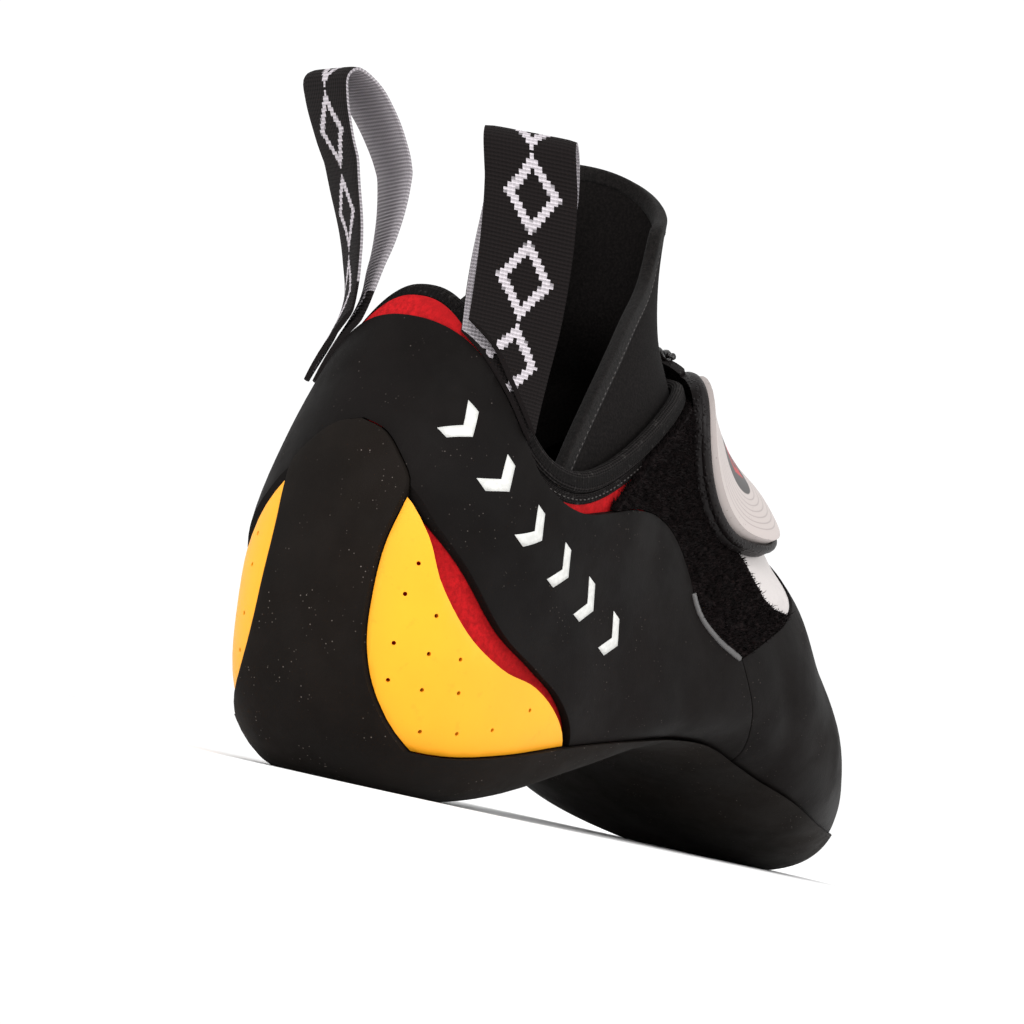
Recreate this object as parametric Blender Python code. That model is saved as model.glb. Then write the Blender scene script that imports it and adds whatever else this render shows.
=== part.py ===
"""Climbing shoe for the right foot: a hollow upper with rubber, straps and loops round it.

Metres. X runs from heel to toe, Y to the medial side, Z up from the floor.
"""

import bmesh
import bpy
import numpy as np
from mathutils import Matrix, Vector

# Driving sizes
LENGTH = 0.242
HEEL_HEIGHT = 0.105
INSTEP_HEIGHT = 0.086
ARCH_HEIGHT = 0.0205
HEEL_WIDTH = 0.068
BALL_WIDTH = 0.092
HEEL_REST = 0.130  # from the back of the heel to the middle of its flat, over LENGTH
GROUND_FLAT = 0.0012  # rubber ground away where heel and forefoot stand

# Layers
GAP = 0.0003
SOLE_RUBBER = 0.0028
RAND_RUBBER = 0.0019
THIN_RUBBER = 0.0014
UPPER_WALL = 0.0016
INSOLE_BOARD = 0.0014
TONGUE_WALL = 0.0025
BINDING_WALL = 0.0028
STRAP_WALL = 0.0018
PAD_WALL = 0.0026

# Depth of each layer's outer face under the outer skin
UPPER_DEPTH = SOLE_RUBBER + GAP
LINING_DEPTH = UPPER_DEPTH + UPPER_WALL
BINDING_DEPTH = LINING_DEPTH + GAP / 3 - BINDING_WALL
STRAP_DEPTH = SOLE_RUBBER - RAND_RUBBER - GAP - STRAP_WALL
PAD_DEPTH = STRAP_DEPTH - GAP - PAD_WALL

# Widths of trims and openings
LASTING_MARGIN = 0.012
LASTING_REACH = 0.010  # half the height of the cutter for the upper's opening underneath
INSOLE_MARGIN = 0.006
INSOLE_REACH = 0.012
SOLE_BAR = (0.09, 0.93)  # from heel to toe, over LENGTH
SOLE_BAR_TOP = 1.2  # over ARCH_HEIGHT
HEEL_STRIP_FRONT = 0.12  # shares of LENGTH, as are the next two
HEEL_TAB_FRONT = 0.088
HOOK_FRONT = 0.63
PANEL_FLOOR = 0.4  # over HEEL_HEIGHT
BINDING_WIDTH = 0.0045
PAD_LONG = 0.044
PAD_WIDE = 0.036
PAD_RIM = 0.0020
PAD_STATION = 0.285  # where the pad sits along the form, and round it
PAD_TURN = 0.585
PAD_CORNERS = 20
STRAP_END = -0.16  # lateral end of the strap, over BALL_WIDTH
LOOP_WIDTH = 0.019
LOOP_WALL = 0.0011
LOOP_RISE = 0.063
LOOP_OPENING = 0.011
LOOP_BOW = 0.0008  # how far its edges bend round the heel
LOOP_BOW_FADE = 1.6  # how fast that ends up the loop
LOOP_SPACE = 0.0007
LOOP_FOOT = 0.45  # share of its rise that lies on the heel
LOOP_STEPS = 21
LOOP_PARTING = 4  # its legs keep their space but for one part in this many at the top

# How finely the form is divided
RINGS = 26
AROUND = 24
POINTS_PER_SPAN = 1.4
TOE_EASE = 1.3  # over 1, the rings lie closer towards the toe

# Sections of the skin from the collar round the heel to the toe. Each runs from a point on the
# back and underside to a point on the front and instep.
# Heel sections: name, back x / LENGTH, back z / HEEL_HEIGHT, front x / LENGTH,
# front z / INSTEP_HEIGHT, lateral and medial half width / HEEL_WIDTH, centre y / BALL_WIDTH,
# where it is widest, squareness below and above
HEEL_SECTIONS = (
    ("tongue top", 0.098, 1.160, 0.410, 1.720, 0.330, 0.330, 0.000, 0.50, 2.2, 2.3),
    ("collar", 0.062, 0.940, 0.415, 1.440, 0.366, 0.366, 0.000, 0.50, 2.2, 2.3),
    ("ankle", 0.035, 0.768, 0.419, 1.325, 0.424, 0.424, 0.000, 0.48, 2.3, 2.3),
    ("tendon", 0.012, 0.587, 0.433, 1.260, 0.465, 0.465, 0.000, 0.46, 2.4, 2.4),
    ("heel back", 0.004, 0.410, 0.450, 1.218, 0.493, 0.493, 0.000, 0.44, 2.6, 2.4),
    ("heel cup", 0.009, 0.240, 0.470, 1.176, 0.494, 0.491, 0.000, 0.42, 2.7, 2.4),
    ("heel curve", 0.032, 0.096, 0.495, 1.130, 0.499, 0.493, 0.000, 0.40, 2.8, 2.4),
    ("heel base", 0.087, 0.003, 0.521, 1.084, 0.506, 0.504, -0.002, 0.38, 2.8, 2.4),
    ("heel front", 0.169, 0.000, 0.552, 1.040, 0.516, 0.510, -0.002, 0.38, 2.7, 2.4),
)
# Forefoot sections: the same columns, with back z / ARCH_HEIGHT and half widths / BALL_WIDTH
FOREFOOT_SECTIONS = (
    ("waist back", 0.258, 0.341, 0.587, 0.990, 0.394, 0.377, -0.014, 0.38, 2.6, 2.4),
    ("waist", 0.357, 0.800, 0.625, 0.892, 0.422, 0.385, -0.016, 0.38, 2.6, 2.3),
    ("arch", 0.455, 1.010, 0.664, 0.815, 0.464, 0.425, -0.002, 0.38, 2.6, 2.2),
    ("instep", 0.553, 0.859, 0.703, 0.707, 0.488, 0.470, 0.015, 0.38, 2.7, 2.0),
    ("ball", 0.652, 0.444, 0.758, 0.616, 0.495, 0.508, 0.041, 0.38, 2.7, 2.0),
    ("ball front", 0.744, 0.161, 0.814, 0.523, 0.458, 0.491, 0.072, 0.40, 2.7, 2.0),
    ("toes back", 0.827, 0.020, 0.871, 0.440, 0.399, 0.396, 0.101, 0.42, 2.6, 2.1),
    ("toes", 0.901, -0.024, 0.925, 0.371, 0.311, 0.284, 0.124, 0.45, 2.5, 2.1),
    ("toe end", 0.958, 0.059, 0.964, 0.307, 0.214, 0.171, 0.142, 0.48, 2.3, 2.2),
    ("tip", 0.988, 0.302, 0.987, 0.244, 0.129, 0.083, 0.143, 0.50, 2.1, 2.1),
    ("tip close", 0.998, 0.561, 0.998, 0.180, 0.043, 0.033, 0.143, 0.50, 2.0, 2.0),
)

# Lines across the side view: x / LENGTH, z / HEEL_HEIGHT
COLLAR_LINE = (
    (-0.06, 1.02), (0.070, 1.014), (0.085, 0.970), (0.095, 0.886), (0.105, 0.800), (0.117, 0.733),
    (0.132, 0.690), (0.153, 0.676), (0.182, 0.679), (0.219, 0.714), (0.273, 0.790), (0.331, 0.876),
    (0.380, 0.933), (0.430, 0.962), (0.540, 0.990),
)
BAND_TOP = (
    (-0.06, 0.905), (0.060, 0.895), (0.071, 0.867), (0.085, 0.795), (0.103, 0.700), (0.122, 0.638),
    (0.149, 0.608), (0.182, 0.601), (0.223, 0.619), (0.269, 0.643), (0.318, 0.648), (0.364, 0.619),
    (0.397, 0.552), (0.411, 0.486), (0.432, 0.452), (0.473, 0.419),
)
BAND_BOTTOM = (
    (-0.06, 0.585), (0.022, 0.580), (0.038, 0.500), (0.061, 0.433), (0.107, 0.336),
    (0.163, 0.282), (0.202, 0.245), (0.236, 0.180), (0.249, 0.100), (0.252, -0.110),
)
BAND_FRONT = ((0.473, 0.419), (0.500, 0.305), (0.550, 0.190), (0.579, -0.110))
TOE_BACK = ((0.473, 0.419), (0.512, 0.466), (0.562, 0.525), (0.605, 0.590), (0.626, 0.710), (0.632, 1.0))
SIDE_PATCH_FRONT = (
    (-0.05, 0.620), (0.020, 0.571), (0.034, 0.486), (0.045, 0.400), (0.076, 0.317), (0.120, 0.270),
    (0.167, 0.253), (0.198, 0.224), (0.234, 0.157), (0.240, 0.0),
)
HOOK_BACK = ((0.31, 1.2), (0.300, 0.880), (0.285, 0.752), (0.255, 0.680), (0.226, 0.600), (0.21, 0.40))
STRAP_BACK = ((0.500, 1.18), (0.440, 1.01), (0.385, 0.84), (0.352, 0.66), (0.330, 0.42))
STRAP_FRONT = ((0.615, 1.03), (0.553, 0.86), (0.495, 0.66), (0.440, 0.40))
TONGUE_BACK = (
    (0.152, 0.560), (0.178, 0.690), (0.225, 0.860), (0.278, 1.010), (0.318, 1.110), (0.332, 1.200),
    (0.326, 1.290), (0.320, 1.400),
)
TONGUE_FRONT = ((0.500, 1.40), (0.490, 0.89), (0.340, 0.56))

# Top edge of the sole, across the side view: x / LENGTH, z / ARCH_HEIGHT
SOLE_EDGE = (
    (-0.06, 0.389), (0.033, 0.415), (0.097, 0.430), (0.153, 0.563), (0.240, 0.809), (0.310, 0.973),
    (0.401, 1.122), (0.488, 1.173), (0.558, 1.024), (0.624, 0.860), (0.727, 0.625), (0.826, 0.563),
    (0.917, 0.610), (1.040, 0.681),
)
# Half width of the rubber up the back of the heel: z / HEEL_HEIGHT, half width / HEEL_WIDTH
HEEL_STRIP = (
    (-0.10, 0.50), (0.085, 0.296), (0.170, 0.228), (0.256, 0.193), (0.350, 0.183), (0.450, 0.184),
    (0.530, 0.200), (0.565, 0.205), (0.620, 0.150), (0.660, 0.080), (0.675, 0.0),
)
# Top edge of the tongue from behind: y / BALL_WIDTH, z / HEEL_HEIGHT
TONGUE_TOP = (
    (-0.50, 0.900), (-0.300, 1.080), (-0.200, 1.180), (-0.110, 1.260), (0.0, 1.325), (0.110, 1.342),
    (0.200, 1.300), (0.290, 1.180), (0.50, 0.900),
)
# Cut-out of the sole under the medial arch, seen from above: x / LENGTH, y / BALL_WIDTH
ARCH_CUT = (
    (0.270, 0.80), (0.278, 0.36), (0.305, 0.17), (0.370, 0.085), (0.445, 0.075), (0.505, 0.110),
    (0.556, 0.165), (0.583, 0.260), (0.612, 0.430), (0.640, 0.80),
)
# Lateral edge of the panel in front of the strap, seen from above: x / LENGTH, y / BALL_WIDTH
PANEL_EDGE = ((0.478, 0.55), (0.480, 0.0), (0.487, -0.30), (0.516, -0.362), (0.600, -0.386))

# Side outline of a pull loop: height / LOOP_RISE, opening / LOOP_OPENING
LOOP_SHAPE = (
    (0.0, 0.0), (0.18, 0.0), (0.34, 0.18), (0.50, 0.50), (0.66, 0.84), (0.80, 1.0), (0.90, 0.92),
    (0.965, 0.66), (1.0, 0.0),
)
# Section of its ribbon: across / half its width, through / half its wall
RIBBON = ((-1, -1), (-0.4, -1), (0.4, -1), (1, -1), (1, 1), (0.4, 1), (-0.4, 1), (-1, 1))
# Pull loops: name, height of the foot / HEEL_HEIGHT, share of a turn round the form, lean outwards
# and sideways / LOOP_RISE, twist in degrees
PULL_LOOPS = (
    ("pull_loop_lateral", 0.68, -0.125, 0.10, -0.17, -20.0),
    ("pull_loop_medial", 0.75, 0.125, 0.36, 0.09, 24.0),
)

# Colours and finish: name, red, green, blue, roughness
RED_MICROFIBRE = ("red microfibre", 0.42, 0.010, 0.012, 0.75)
BLACK_RUBBER = ("black rubber", 0.014, 0.013, 0.013, 0.62)
YELLOW_RUBBER = ("yellow rubber", 0.95, 0.58, 0.035, 0.50)
BLACK_KNIT = ("black knit", 0.010, 0.010, 0.011, 0.90)
BLACK_NEOPRENE = ("black neoprene", 0.012, 0.012, 0.013, 0.80)
HOOK_PILE = ("black pile", 0.010, 0.009, 0.009, 0.95)
PALE_PANEL = ("pale grey panel", 0.62, 0.60, 0.60, 0.60)
PALE_RUBBER = ("off-white rubber", 0.72, 0.68, 0.67, 0.45)
INSOLE_FABRIC = ("insole fabric", 0.22, 0.20, 0.18, 0.90)

FAR = 0.2


def resampled(rows, lengths, steps):
    """The rows at these shares of a smooth curve through them."""
    place = np.concatenate([[0.0], np.cumsum(lengths)])
    slopes = np.gradient(rows, place, axis=0)
    wanted = steps * place[-1]
    span = np.clip(np.searchsorted(place, wanted, side="right") - 1, 0, len(place) - 2)
    width = np.diff(place)[span][:, None]
    t = (wanted[:, None] - place[span][:, None]) / width
    start, end = rows[span], rows[span + 1]
    leave, arrive = slopes[span] * width, slopes[span + 1] * width
    return (
        start * (2 * t**3 - 3 * t**2 + 1)
        + leave * (t**3 - 2 * t**2 + t)
        + end * (3 * t**2 - 2 * t**3)
        + arrive * (t**3 - t**2)
    )


def curve(points, across, up):
    """A smooth line through points given as shares of two sizes."""
    line = np.array(points) * (across, up)
    lengths = np.linalg.norm(np.diff(line, axis=0), axis=1)
    return resampled(line, lengths, np.linspace(0, 1, int(POINTS_PER_SPAN * (len(points) - 1)) + 1))


def side_curve(points):
    return curve(points, LENGTH, HEEL_HEIGHT)


def sole_edge():
    return curve(SOLE_EDGE, LENGTH, ARCH_HEIGHT)


def shifted(line, distance):
    """The line moved to its left by the distance."""
    along = np.gradient(line, axis=0)
    along /= np.linalg.norm(along, axis=1)[:, None]
    return line + distance * np.stack([-along[:, 1], along[:, 0]], axis=1)


def under_binding():
    """The side line along the lower edge of the collar binding."""
    return shifted(side_curve(COLLAR_LINE), -BINDING_WIDTH - GAP)


def section_rows():
    """The section tables in metres, resampled from the collar to the toe."""
    rows = []
    for table, rise, width in (
        (HEEL_SECTIONS, HEEL_HEIGHT, HEEL_WIDTH),
        (FOREFOOT_SECTIONS, ARCH_HEIGHT, BALL_WIDTH),
    ):
        for _, back_x, back_z, front_x, front_z, lateral, medial, centre, *shape in table:
            rows.append((
                back_x * LENGTH, back_z * rise - GROUND_FLAT,
                front_x * LENGTH, front_z * INSTEP_HEIGHT - GROUND_FLAT,
                lateral * width, medial * width, centre * BALL_WIDTH, *shape,
            ))
    rows = np.array(rows)
    steps = np.diff(rows, axis=0)
    lengths = (np.hypot(steps[:, 0], steps[:, 1]) + np.hypot(steps[:, 2], steps[:, 3])) / 2
    return resampled(rows, lengths, 1 - np.linspace(1, 0, RINGS) ** TOE_EASE)


def skin():
    """Points of the outer skin, ring by ring, and its outward normals."""
    rows = section_rows()
    turn = np.arange(AROUND) / AROUND * 2 * np.pi
    cosine, sine = np.cos(turn), np.sin(turn)
    points = np.zeros((RINGS, AROUND, 3))
    for ring, row in zip(points, rows):
        back, front = row[0:2], row[2:4]
        lateral, medial, centre, widest, below, above = row[4:]
        height = np.linalg.norm(front - back)
        squareness = np.where(cosine > 0, below, above)
        lift = np.abs(cosine) ** (2 / squareness)
        reach = np.abs(sine) ** (2 / squareness) * np.sign(sine)
        climb = np.where(cosine > 0, widest * (1 - lift), widest + (1 - widest) * lift) * height
        direction = (front - back) / height
        ring[:, 0] = back[0] + direction[0] * climb
        ring[:, 1] = centre + np.where(sine < 0, lateral, medial) * reach
        ring[:, 2] = back[1] + direction[1] * climb
    along = np.gradient(points, axis=0)
    around = np.roll(points, -1, axis=1) - np.roll(points, 1, axis=1)
    normals = np.cross(around, along)
    normals[-1] = normals[-1].mean(axis=0)
    normals /= np.linalg.norm(normals, axis=2)[:, :, None]
    return points, normals


SKIN, NORMALS = skin()


def skin_frame(station, turn):
    """Where the skin is at a share of its length and of a turn, with its axes there."""
    ring = station * (RINGS - 1)
    low = int(ring)
    rest = ring - low
    step = turn % 1.0 * AROUND
    left = int(step)
    side = step - left

    def mixed(grid):
        first = grid[low, left % AROUND] * (1 - side) + grid[low, (left + 1) % AROUND] * side
        after = grid[low + 1, left % AROUND] * (1 - side) + grid[low + 1, (left + 1) % AROUND] * side
        return Vector(first * (1 - rest) + after * rest)

    point, normal = mixed(SKIN), mixed(NORMALS).normalized()
    along = mixed(np.gradient(SKIN, axis=0))
    along = (along - normal * along.dot(normal)).normalized()
    return point, along, normal.cross(along), normal


def collection(name):
    made = bpy.data.collections.new(name)
    bpy.context.scene.collection.children.link(made)
    return made


def material(finish):
    name, red, green, blue, roughness = finish
    made = bpy.data.materials.get(name)
    if made is None:
        made = bpy.data.materials.new(name)
        made.use_nodes = True
        shader = made.node_tree.nodes["Principled BSDF"]
        shader.inputs["Base Color"].default_value = (red, green, blue, 1.0)
        shader.inputs["Roughness"].default_value = roughness
        shader.inputs["Metallic"].default_value = 0.0
        made.diffuse_color = (red, green, blue, 1.0)
    return made


def add_object(name, points, faces, group, turn_out=True):
    """A mesh object in a group, with its faces turned outwards unless they are already."""
    edit = bmesh.new()
    corners = [edit.verts.new(point) for point in points]
    for face in faces:
        edit.faces.new([corners[index] for index in face])
    if turn_out:
        bmesh.ops.recalc_face_normals(edit, faces=edit.faces)
    return add_edited(name, edit, group)


def add_edited(name, edit, group):
    mesh = bpy.data.meshes.new(name)
    edit.to_mesh(mesh)
    edit.free()
    made = bpy.data.objects.new(name, mesh)
    group.objects.link(made)
    if group is CUTTERS:
        made.hide_render = True
        made.display_type = "WIRE"
    return made


def form(name, depth, group=None):
    """The closed form of the shoe at a depth under its skin.

    A deeper form stands higher at the collar, so that it cuts right through there.
    """
    points = SKIN - NORMALS * depth
    points[0, :, 2] += depth - PAD_DEPTH
    faces = []
    for ring in range(RINGS - 1):
        for step in range(AROUND):
            here, beside = ring * AROUND + step, ring * AROUND + (step + 1) % AROUND
            faces.append((here, beside, beside + AROUND))
            faces.append((here, beside + AROUND, here + AROUND))
    faces.append(tuple(reversed(range(AROUND))))
    faces.append(tuple(range((RINGS - 1) * AROUND, RINGS * AROUND)))
    return add_object(name, points.reshape(-1, 3), faces, group or CUTTERS, turn_out=False)


def prism(name, outline, axis, low, high):
    """A cutter with a flat outline, from low to high along the axis across it."""
    at = {"X": lambda a, b, c: (c, a, b), "Y": lambda a, b, c: (a, c, b), "Z": lambda a, b, c: (a, b, c)}[axis]
    count = len(outline)
    points = [at(a, b, low) for a, b in outline] + [at(a, b, high) for a, b in outline]
    faces = [tuple(range(count)), tuple(range(count, 2 * count))]
    faces += [(i, (i + 1) % count, (i + 1) % count + count, i + count) for i in range(count)]
    return add_object(name, points, faces, CUTTERS)


def boolean(piece, cutter, operation):
    modifier = piece.modifiers.new(f"{operation.lower()} {cutter.name}", "BOOLEAN")
    modifier.object = cutter
    modifier.operation = operation


def keep(piece, *cutters):
    for cutter in cutters:
        boolean(piece, cutter, "INTERSECT")


def cut(piece, *cutters):
    for cutter in cutters:
        boolean(piece, cutter, "DIFFERENCE")


def layer(name, depth, wall, finish):
    """A shell between two forms, one wall apart. Cuts are added by its maker."""
    piece = form(name, depth, PARTS)
    piece.data.materials.append(material(finish))
    return piece, form(f"{name} inside", depth + wall)


def below(name, line, side=FAR):
    """A cutter with all that lies below a side line."""
    outline = [(-FAR, line[0][1])] + list(map(tuple, line)) + [(2 * FAR, line[-1][1])]
    outline += [(2 * FAR, -FAR), (-FAR, -FAR)]
    return prism(name, outline, "Y", -FAR, side)


def sole_region(name, grow=0.0):
    """What the outsole covers: all below its edge, and the strip up the back of the heel."""
    region = below(name, shifted(sole_edge(), grow))
    half = curve(HEEL_STRIP, HEEL_HEIGHT, HEEL_WIDTH)
    half = shifted(half, grow)
    half[:, 1] = np.maximum(half[:, 1], 0.0)
    right = [(y, z) for z, y in half]
    left = [(-y, z) for z, y in half[:-1]][::-1]
    strip = prism(f"{name} strip", right + left, "X", -FAR, LENGTH * HEEL_STRIP_FRONT)
    boolean(region, strip, "UNION")
    return region


def band_region(name, grow=0.0):
    """What the heel band covers, seen from the side."""
    top, front, bottom = map(side_curve, (BAND_TOP, BAND_FRONT, BAND_BOTTOM))
    outline = np.concatenate([
        shifted(top, grow), shifted(front, grow)[1:], shifted(bottom, -grow)[::-1],
    ])
    return prism(name, outline, "Y", -FAR, FAR)


def toe_region(name, grow=0.0):
    back = np.concatenate([side_curve(BAND_FRONT)[::-1], side_curve(TOE_BACK)[1:]])
    outline = list(map(tuple, shifted(back, grow)))
    outline += [(2 * FAR, outline[-1][1]), (2 * FAR, outline[0][1])]
    return prism(name, outline, "Y", -FAR, FAR)


def arch_region(name, grow=0.0):
    line = curve(ARCH_CUT, LENGTH, BALL_WIDTH)
    return prism(name, shifted(line, -grow), "Z", -FAR, FAR)


def panel_region(name, grow=0.0):
    line = shifted(curve(PANEL_EDGE, LENGTH, BALL_WIDTH), -grow)
    outline = list(map(tuple, line)) + [(2 * FAR, line[-1][1]), (2 * FAR, line[0][1])]
    return prism(name, outline, "Z", HEEL_HEIGHT * PANEL_FLOOR, FAR)


def sole_bar(name, margin, reach):
    """A bar that follows the underside, for the upper's opening and the insole."""
    back, front = np.array(SOLE_BAR) * LENGTH
    top = SOLE_BAR_TOP * ARCH_HEIGHT
    rows = [row for row in section_rows() if back < row[0] < front and row[1] < top]
    points, faces = [], []
    for row in rows:
        for climb, side in ((-reach, -1), (-reach, 1), (reach, 1), (reach, -1)):
            half = row[4] if side < 0 else row[5]
            points.append((row[0], row[6] + side * (half - margin), row[1] + climb))
    for ring in range(len(rows) - 1):
        for side in range(4):
            here, beside = ring * 4 + side, ring * 4 + (side + 1) % 4
            faces.append((here, beside, beside + 4, here + 4))
    faces.append((0, 1, 2, 3))
    faces.append(tuple(len(points) - 4 + side for side in range(4)))
    return add_object(name, points, faces, CUTTERS)


def make_upper():
    upper, inside = layer("upper", UPPER_DEPTH, UPPER_WALL, RED_MICROFIBRE)
    keep(upper, below("upper top", under_binding()))
    cut(upper, sole_bar("upper opening", LASTING_MARGIN, LASTING_REACH))
    cut(upper, inside)


def make_insole():
    insole, inside = layer("insole", LINING_DEPTH + GAP, INSOLE_BOARD, INSOLE_FABRIC)
    keep(insole, sole_bar("insole outline", INSOLE_MARGIN, INSOLE_REACH))
    cut(insole, inside)


def make_outsole():
    outsole, inside = layer("outsole", 0.0, SOLE_RUBBER, BLACK_RUBBER)
    keep(outsole, sole_region("outsole region"))
    cut(outsole, inside)
    ground = prism("ground", ((-FAR, -FAR), (2 * FAR, -FAR), (2 * FAR, FAR), (-FAR, FAR)), "Z", -FAR, 0.0)
    cut(outsole, arch_region("arch cut"), ground)


def make_arch_rand():
    rand, inside = layer("arch_rand", SOLE_RUBBER - THIN_RUBBER, THIN_RUBBER, BLACK_RUBBER)
    keep(rand, below("arch rand region", sole_edge()), arch_region("arch rand outline", -GAP))
    cut(rand, inside)


def make_heel_band():
    band, inside = layer("heel_band", SOLE_RUBBER - RAND_RUBBER, RAND_RUBBER, BLACK_RUBBER)
    keep(band, band_region("band region"))
    cut(band, inside)
    cut(band, sole_region("sole beside band", GAP))


def make_toe_rand():
    rand, inside = layer("toe_rand", SOLE_RUBBER - RAND_RUBBER, RAND_RUBBER, BLACK_RUBBER)
    keep(rand, toe_region("toe region"))
    cut(rand, inside)
    cut(rand, sole_region("sole beside toe", GAP), band_region("band beside toe", GAP))


def make_side_patches():
    for name, low, high in (("side_patch_lateral", -FAR, 0.0), ("side_patch_medial", 0.0, FAR)):
        patch, inside = layer(name, SOLE_RUBBER - THIN_RUBBER, THIN_RUBBER, YELLOW_RUBBER)
        front = side_curve(SIDE_PATCH_FRONT)
        outline = list(map(tuple, front)) + [(front[-1][0], -FAR), (-FAR, -FAR), (-FAR, front[0][1])]
        keep(patch, prism(f"{name} outline", outline, "Y", low, high))
        cut(patch, inside)
        cut(patch, sole_region(f"sole beside {name}", GAP), band_region(f"band beside {name}", GAP))


def make_heel_tab():
    tab, inside = layer("heel_tab", SOLE_RUBBER - THIN_RUBBER, THIN_RUBBER, RED_MICROFIBRE)
    keep(tab, below("tab top", under_binding()))
    front = LENGTH * HEEL_TAB_FRONT
    back = prism("tab back", ((-FAR, 0.0), (front, 0.0), (front, FAR), (-FAR, FAR)), "Y", -FAR, FAR)
    keep(tab, back)
    cut(tab, inside)
    line = shifted(side_curve(BAND_TOP), GAP)
    cut(tab, below("band beside tab", line))


def make_collar_binding():
    binding, inside = layer("collar_binding", BINDING_DEPTH, BINDING_WALL, BLACK_KNIT)
    line = side_curve(COLLAR_LINE)
    keep(binding, below("binding top", line))
    cut(binding, inside)
    cut(binding, below("binding bottom", shifted(line, -BINDING_WIDTH)))


def make_tongue():
    tongue, inside = layer("tongue", LINING_DEPTH + 2 * GAP, TONGUE_WALL, BLACK_NEOPRENE)
    back = side_curve(TONGUE_BACK)
    outline = list(map(tuple, back)) + [(x * LENGTH, z * HEEL_HEIGHT) for x, z in TONGUE_FRONT]
    keep(tongue, prism("tongue outline", outline, "Y", -FAR, FAR))
    top = curve(TONGUE_TOP, BALL_WIDTH, HEEL_HEIGHT)
    outline = list(map(tuple, top)) + [(top[-1][0], 0.0), (top[0][0], 0.0)]
    keep(tongue, prism("tongue top", outline, "X", -FAR, FAR))
    cut(tongue, inside)


def make_hook_patch():
    patch, inside = layer("hook_patch", SOLE_RUBBER - RAND_RUBBER, RAND_RUBBER, HOOK_PILE)
    back = side_curve(HOOK_BACK)
    front = LENGTH * HOOK_FRONT
    outline = list(map(tuple, back)) + [(front, back[-1][1]), (front, back[0][1])]
    keep(patch, prism("hook outline", outline, "Y", -FAR, FAR))
    keep(patch, below("hook top", under_binding()))
    cut(patch, inside)
    cut(patch, band_region("band beside hook", GAP), toe_region("toe beside hook", GAP))
    cut(patch, panel_region("panel beside hook", GAP))


def make_vamp_panel():
    panel, inside = layer("vamp_panel", SOLE_RUBBER - THIN_RUBBER, THIN_RUBBER, PALE_PANEL)
    keep(panel, panel_region("panel region"))
    cut(panel, inside)
    cut(panel, band_region("band beside panel", GAP), toe_region("toe beside panel", GAP))


def pad_outline(name, rim):
    """A cutter in the shape of the pad and this much round it, square to the skin there."""
    point, along, across, normal = skin_frame(PAD_STATION, PAD_TURN)
    turned = Matrix((along, across, normal)).transposed().to_4x4()
    turned.translation = point
    disc = bmesh.new()
    bmesh.ops.create_cone(
        disc, cap_ends=True, segments=PAD_CORNERS, radius1=0.5, radius2=0.5, depth=PAD_LONG,
        matrix=turned @ Matrix.Diagonal((PAD_LONG + 2 * rim, PAD_WIDE + 2 * rim, 1.0, 1.0)),
    )
    return add_edited(name, disc, CUTTERS)


def make_strap():
    strap, inside = layer("closure_strap", STRAP_DEPTH, STRAP_WALL, BLACK_KNIT)
    back, front = side_curve(STRAP_BACK), side_curve(STRAP_FRONT)
    outline = list(map(tuple, back)) + list(map(tuple, front[::-1]))
    region = prism("strap outline", outline, "Y", STRAP_END * BALL_WIDTH, FAR)
    boolean(region, pad_outline("strap end", PAD_RIM), "UNION")
    keep(strap, region)
    cut(strap, inside)


def make_strap_pad():
    pad, inside = layer("strap_pad", PAD_DEPTH, PAD_WALL, PALE_RUBBER)
    keep(pad, pad_outline("pad outline", 0.0))
    cut(pad, inside)


def up_the_heel(turn, heights):
    """Points of the skin and its normals along one turn of the form, at these heights."""
    rings = np.argmax(SKIN[:, 0, 2] < HEEL_HEIGHT / 2)
    left = int(turn % 1.0 * AROUND)
    side = turn % 1.0 * AROUND - left
    found = []
    for grid in (SKIN, NORMALS):
        line = grid[:rings, left] * (1 - side) + grid[:rings, (left + 1) % AROUND] * side
        found.append(line[::-1])
    levels = found[0][:, 2]
    return [np.stack([np.interp(heights, levels, axis) for axis in line.T], axis=1) for line in found]


def loop_path():
    """Height and opening of a loop's ribbon, up its outer leg and down the inner one."""
    shape = np.array(LOOP_SHAPE)
    legs = np.concatenate([shape, (shape * (1, -1))[-2::-1]])
    lengths = np.linalg.norm(np.diff(legs * (LOOP_RISE, LOOP_OPENING / 2), axis=0), axis=1)
    return resampled(legs, lengths, np.linspace(0, 1, LOOP_STEPS))


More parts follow.
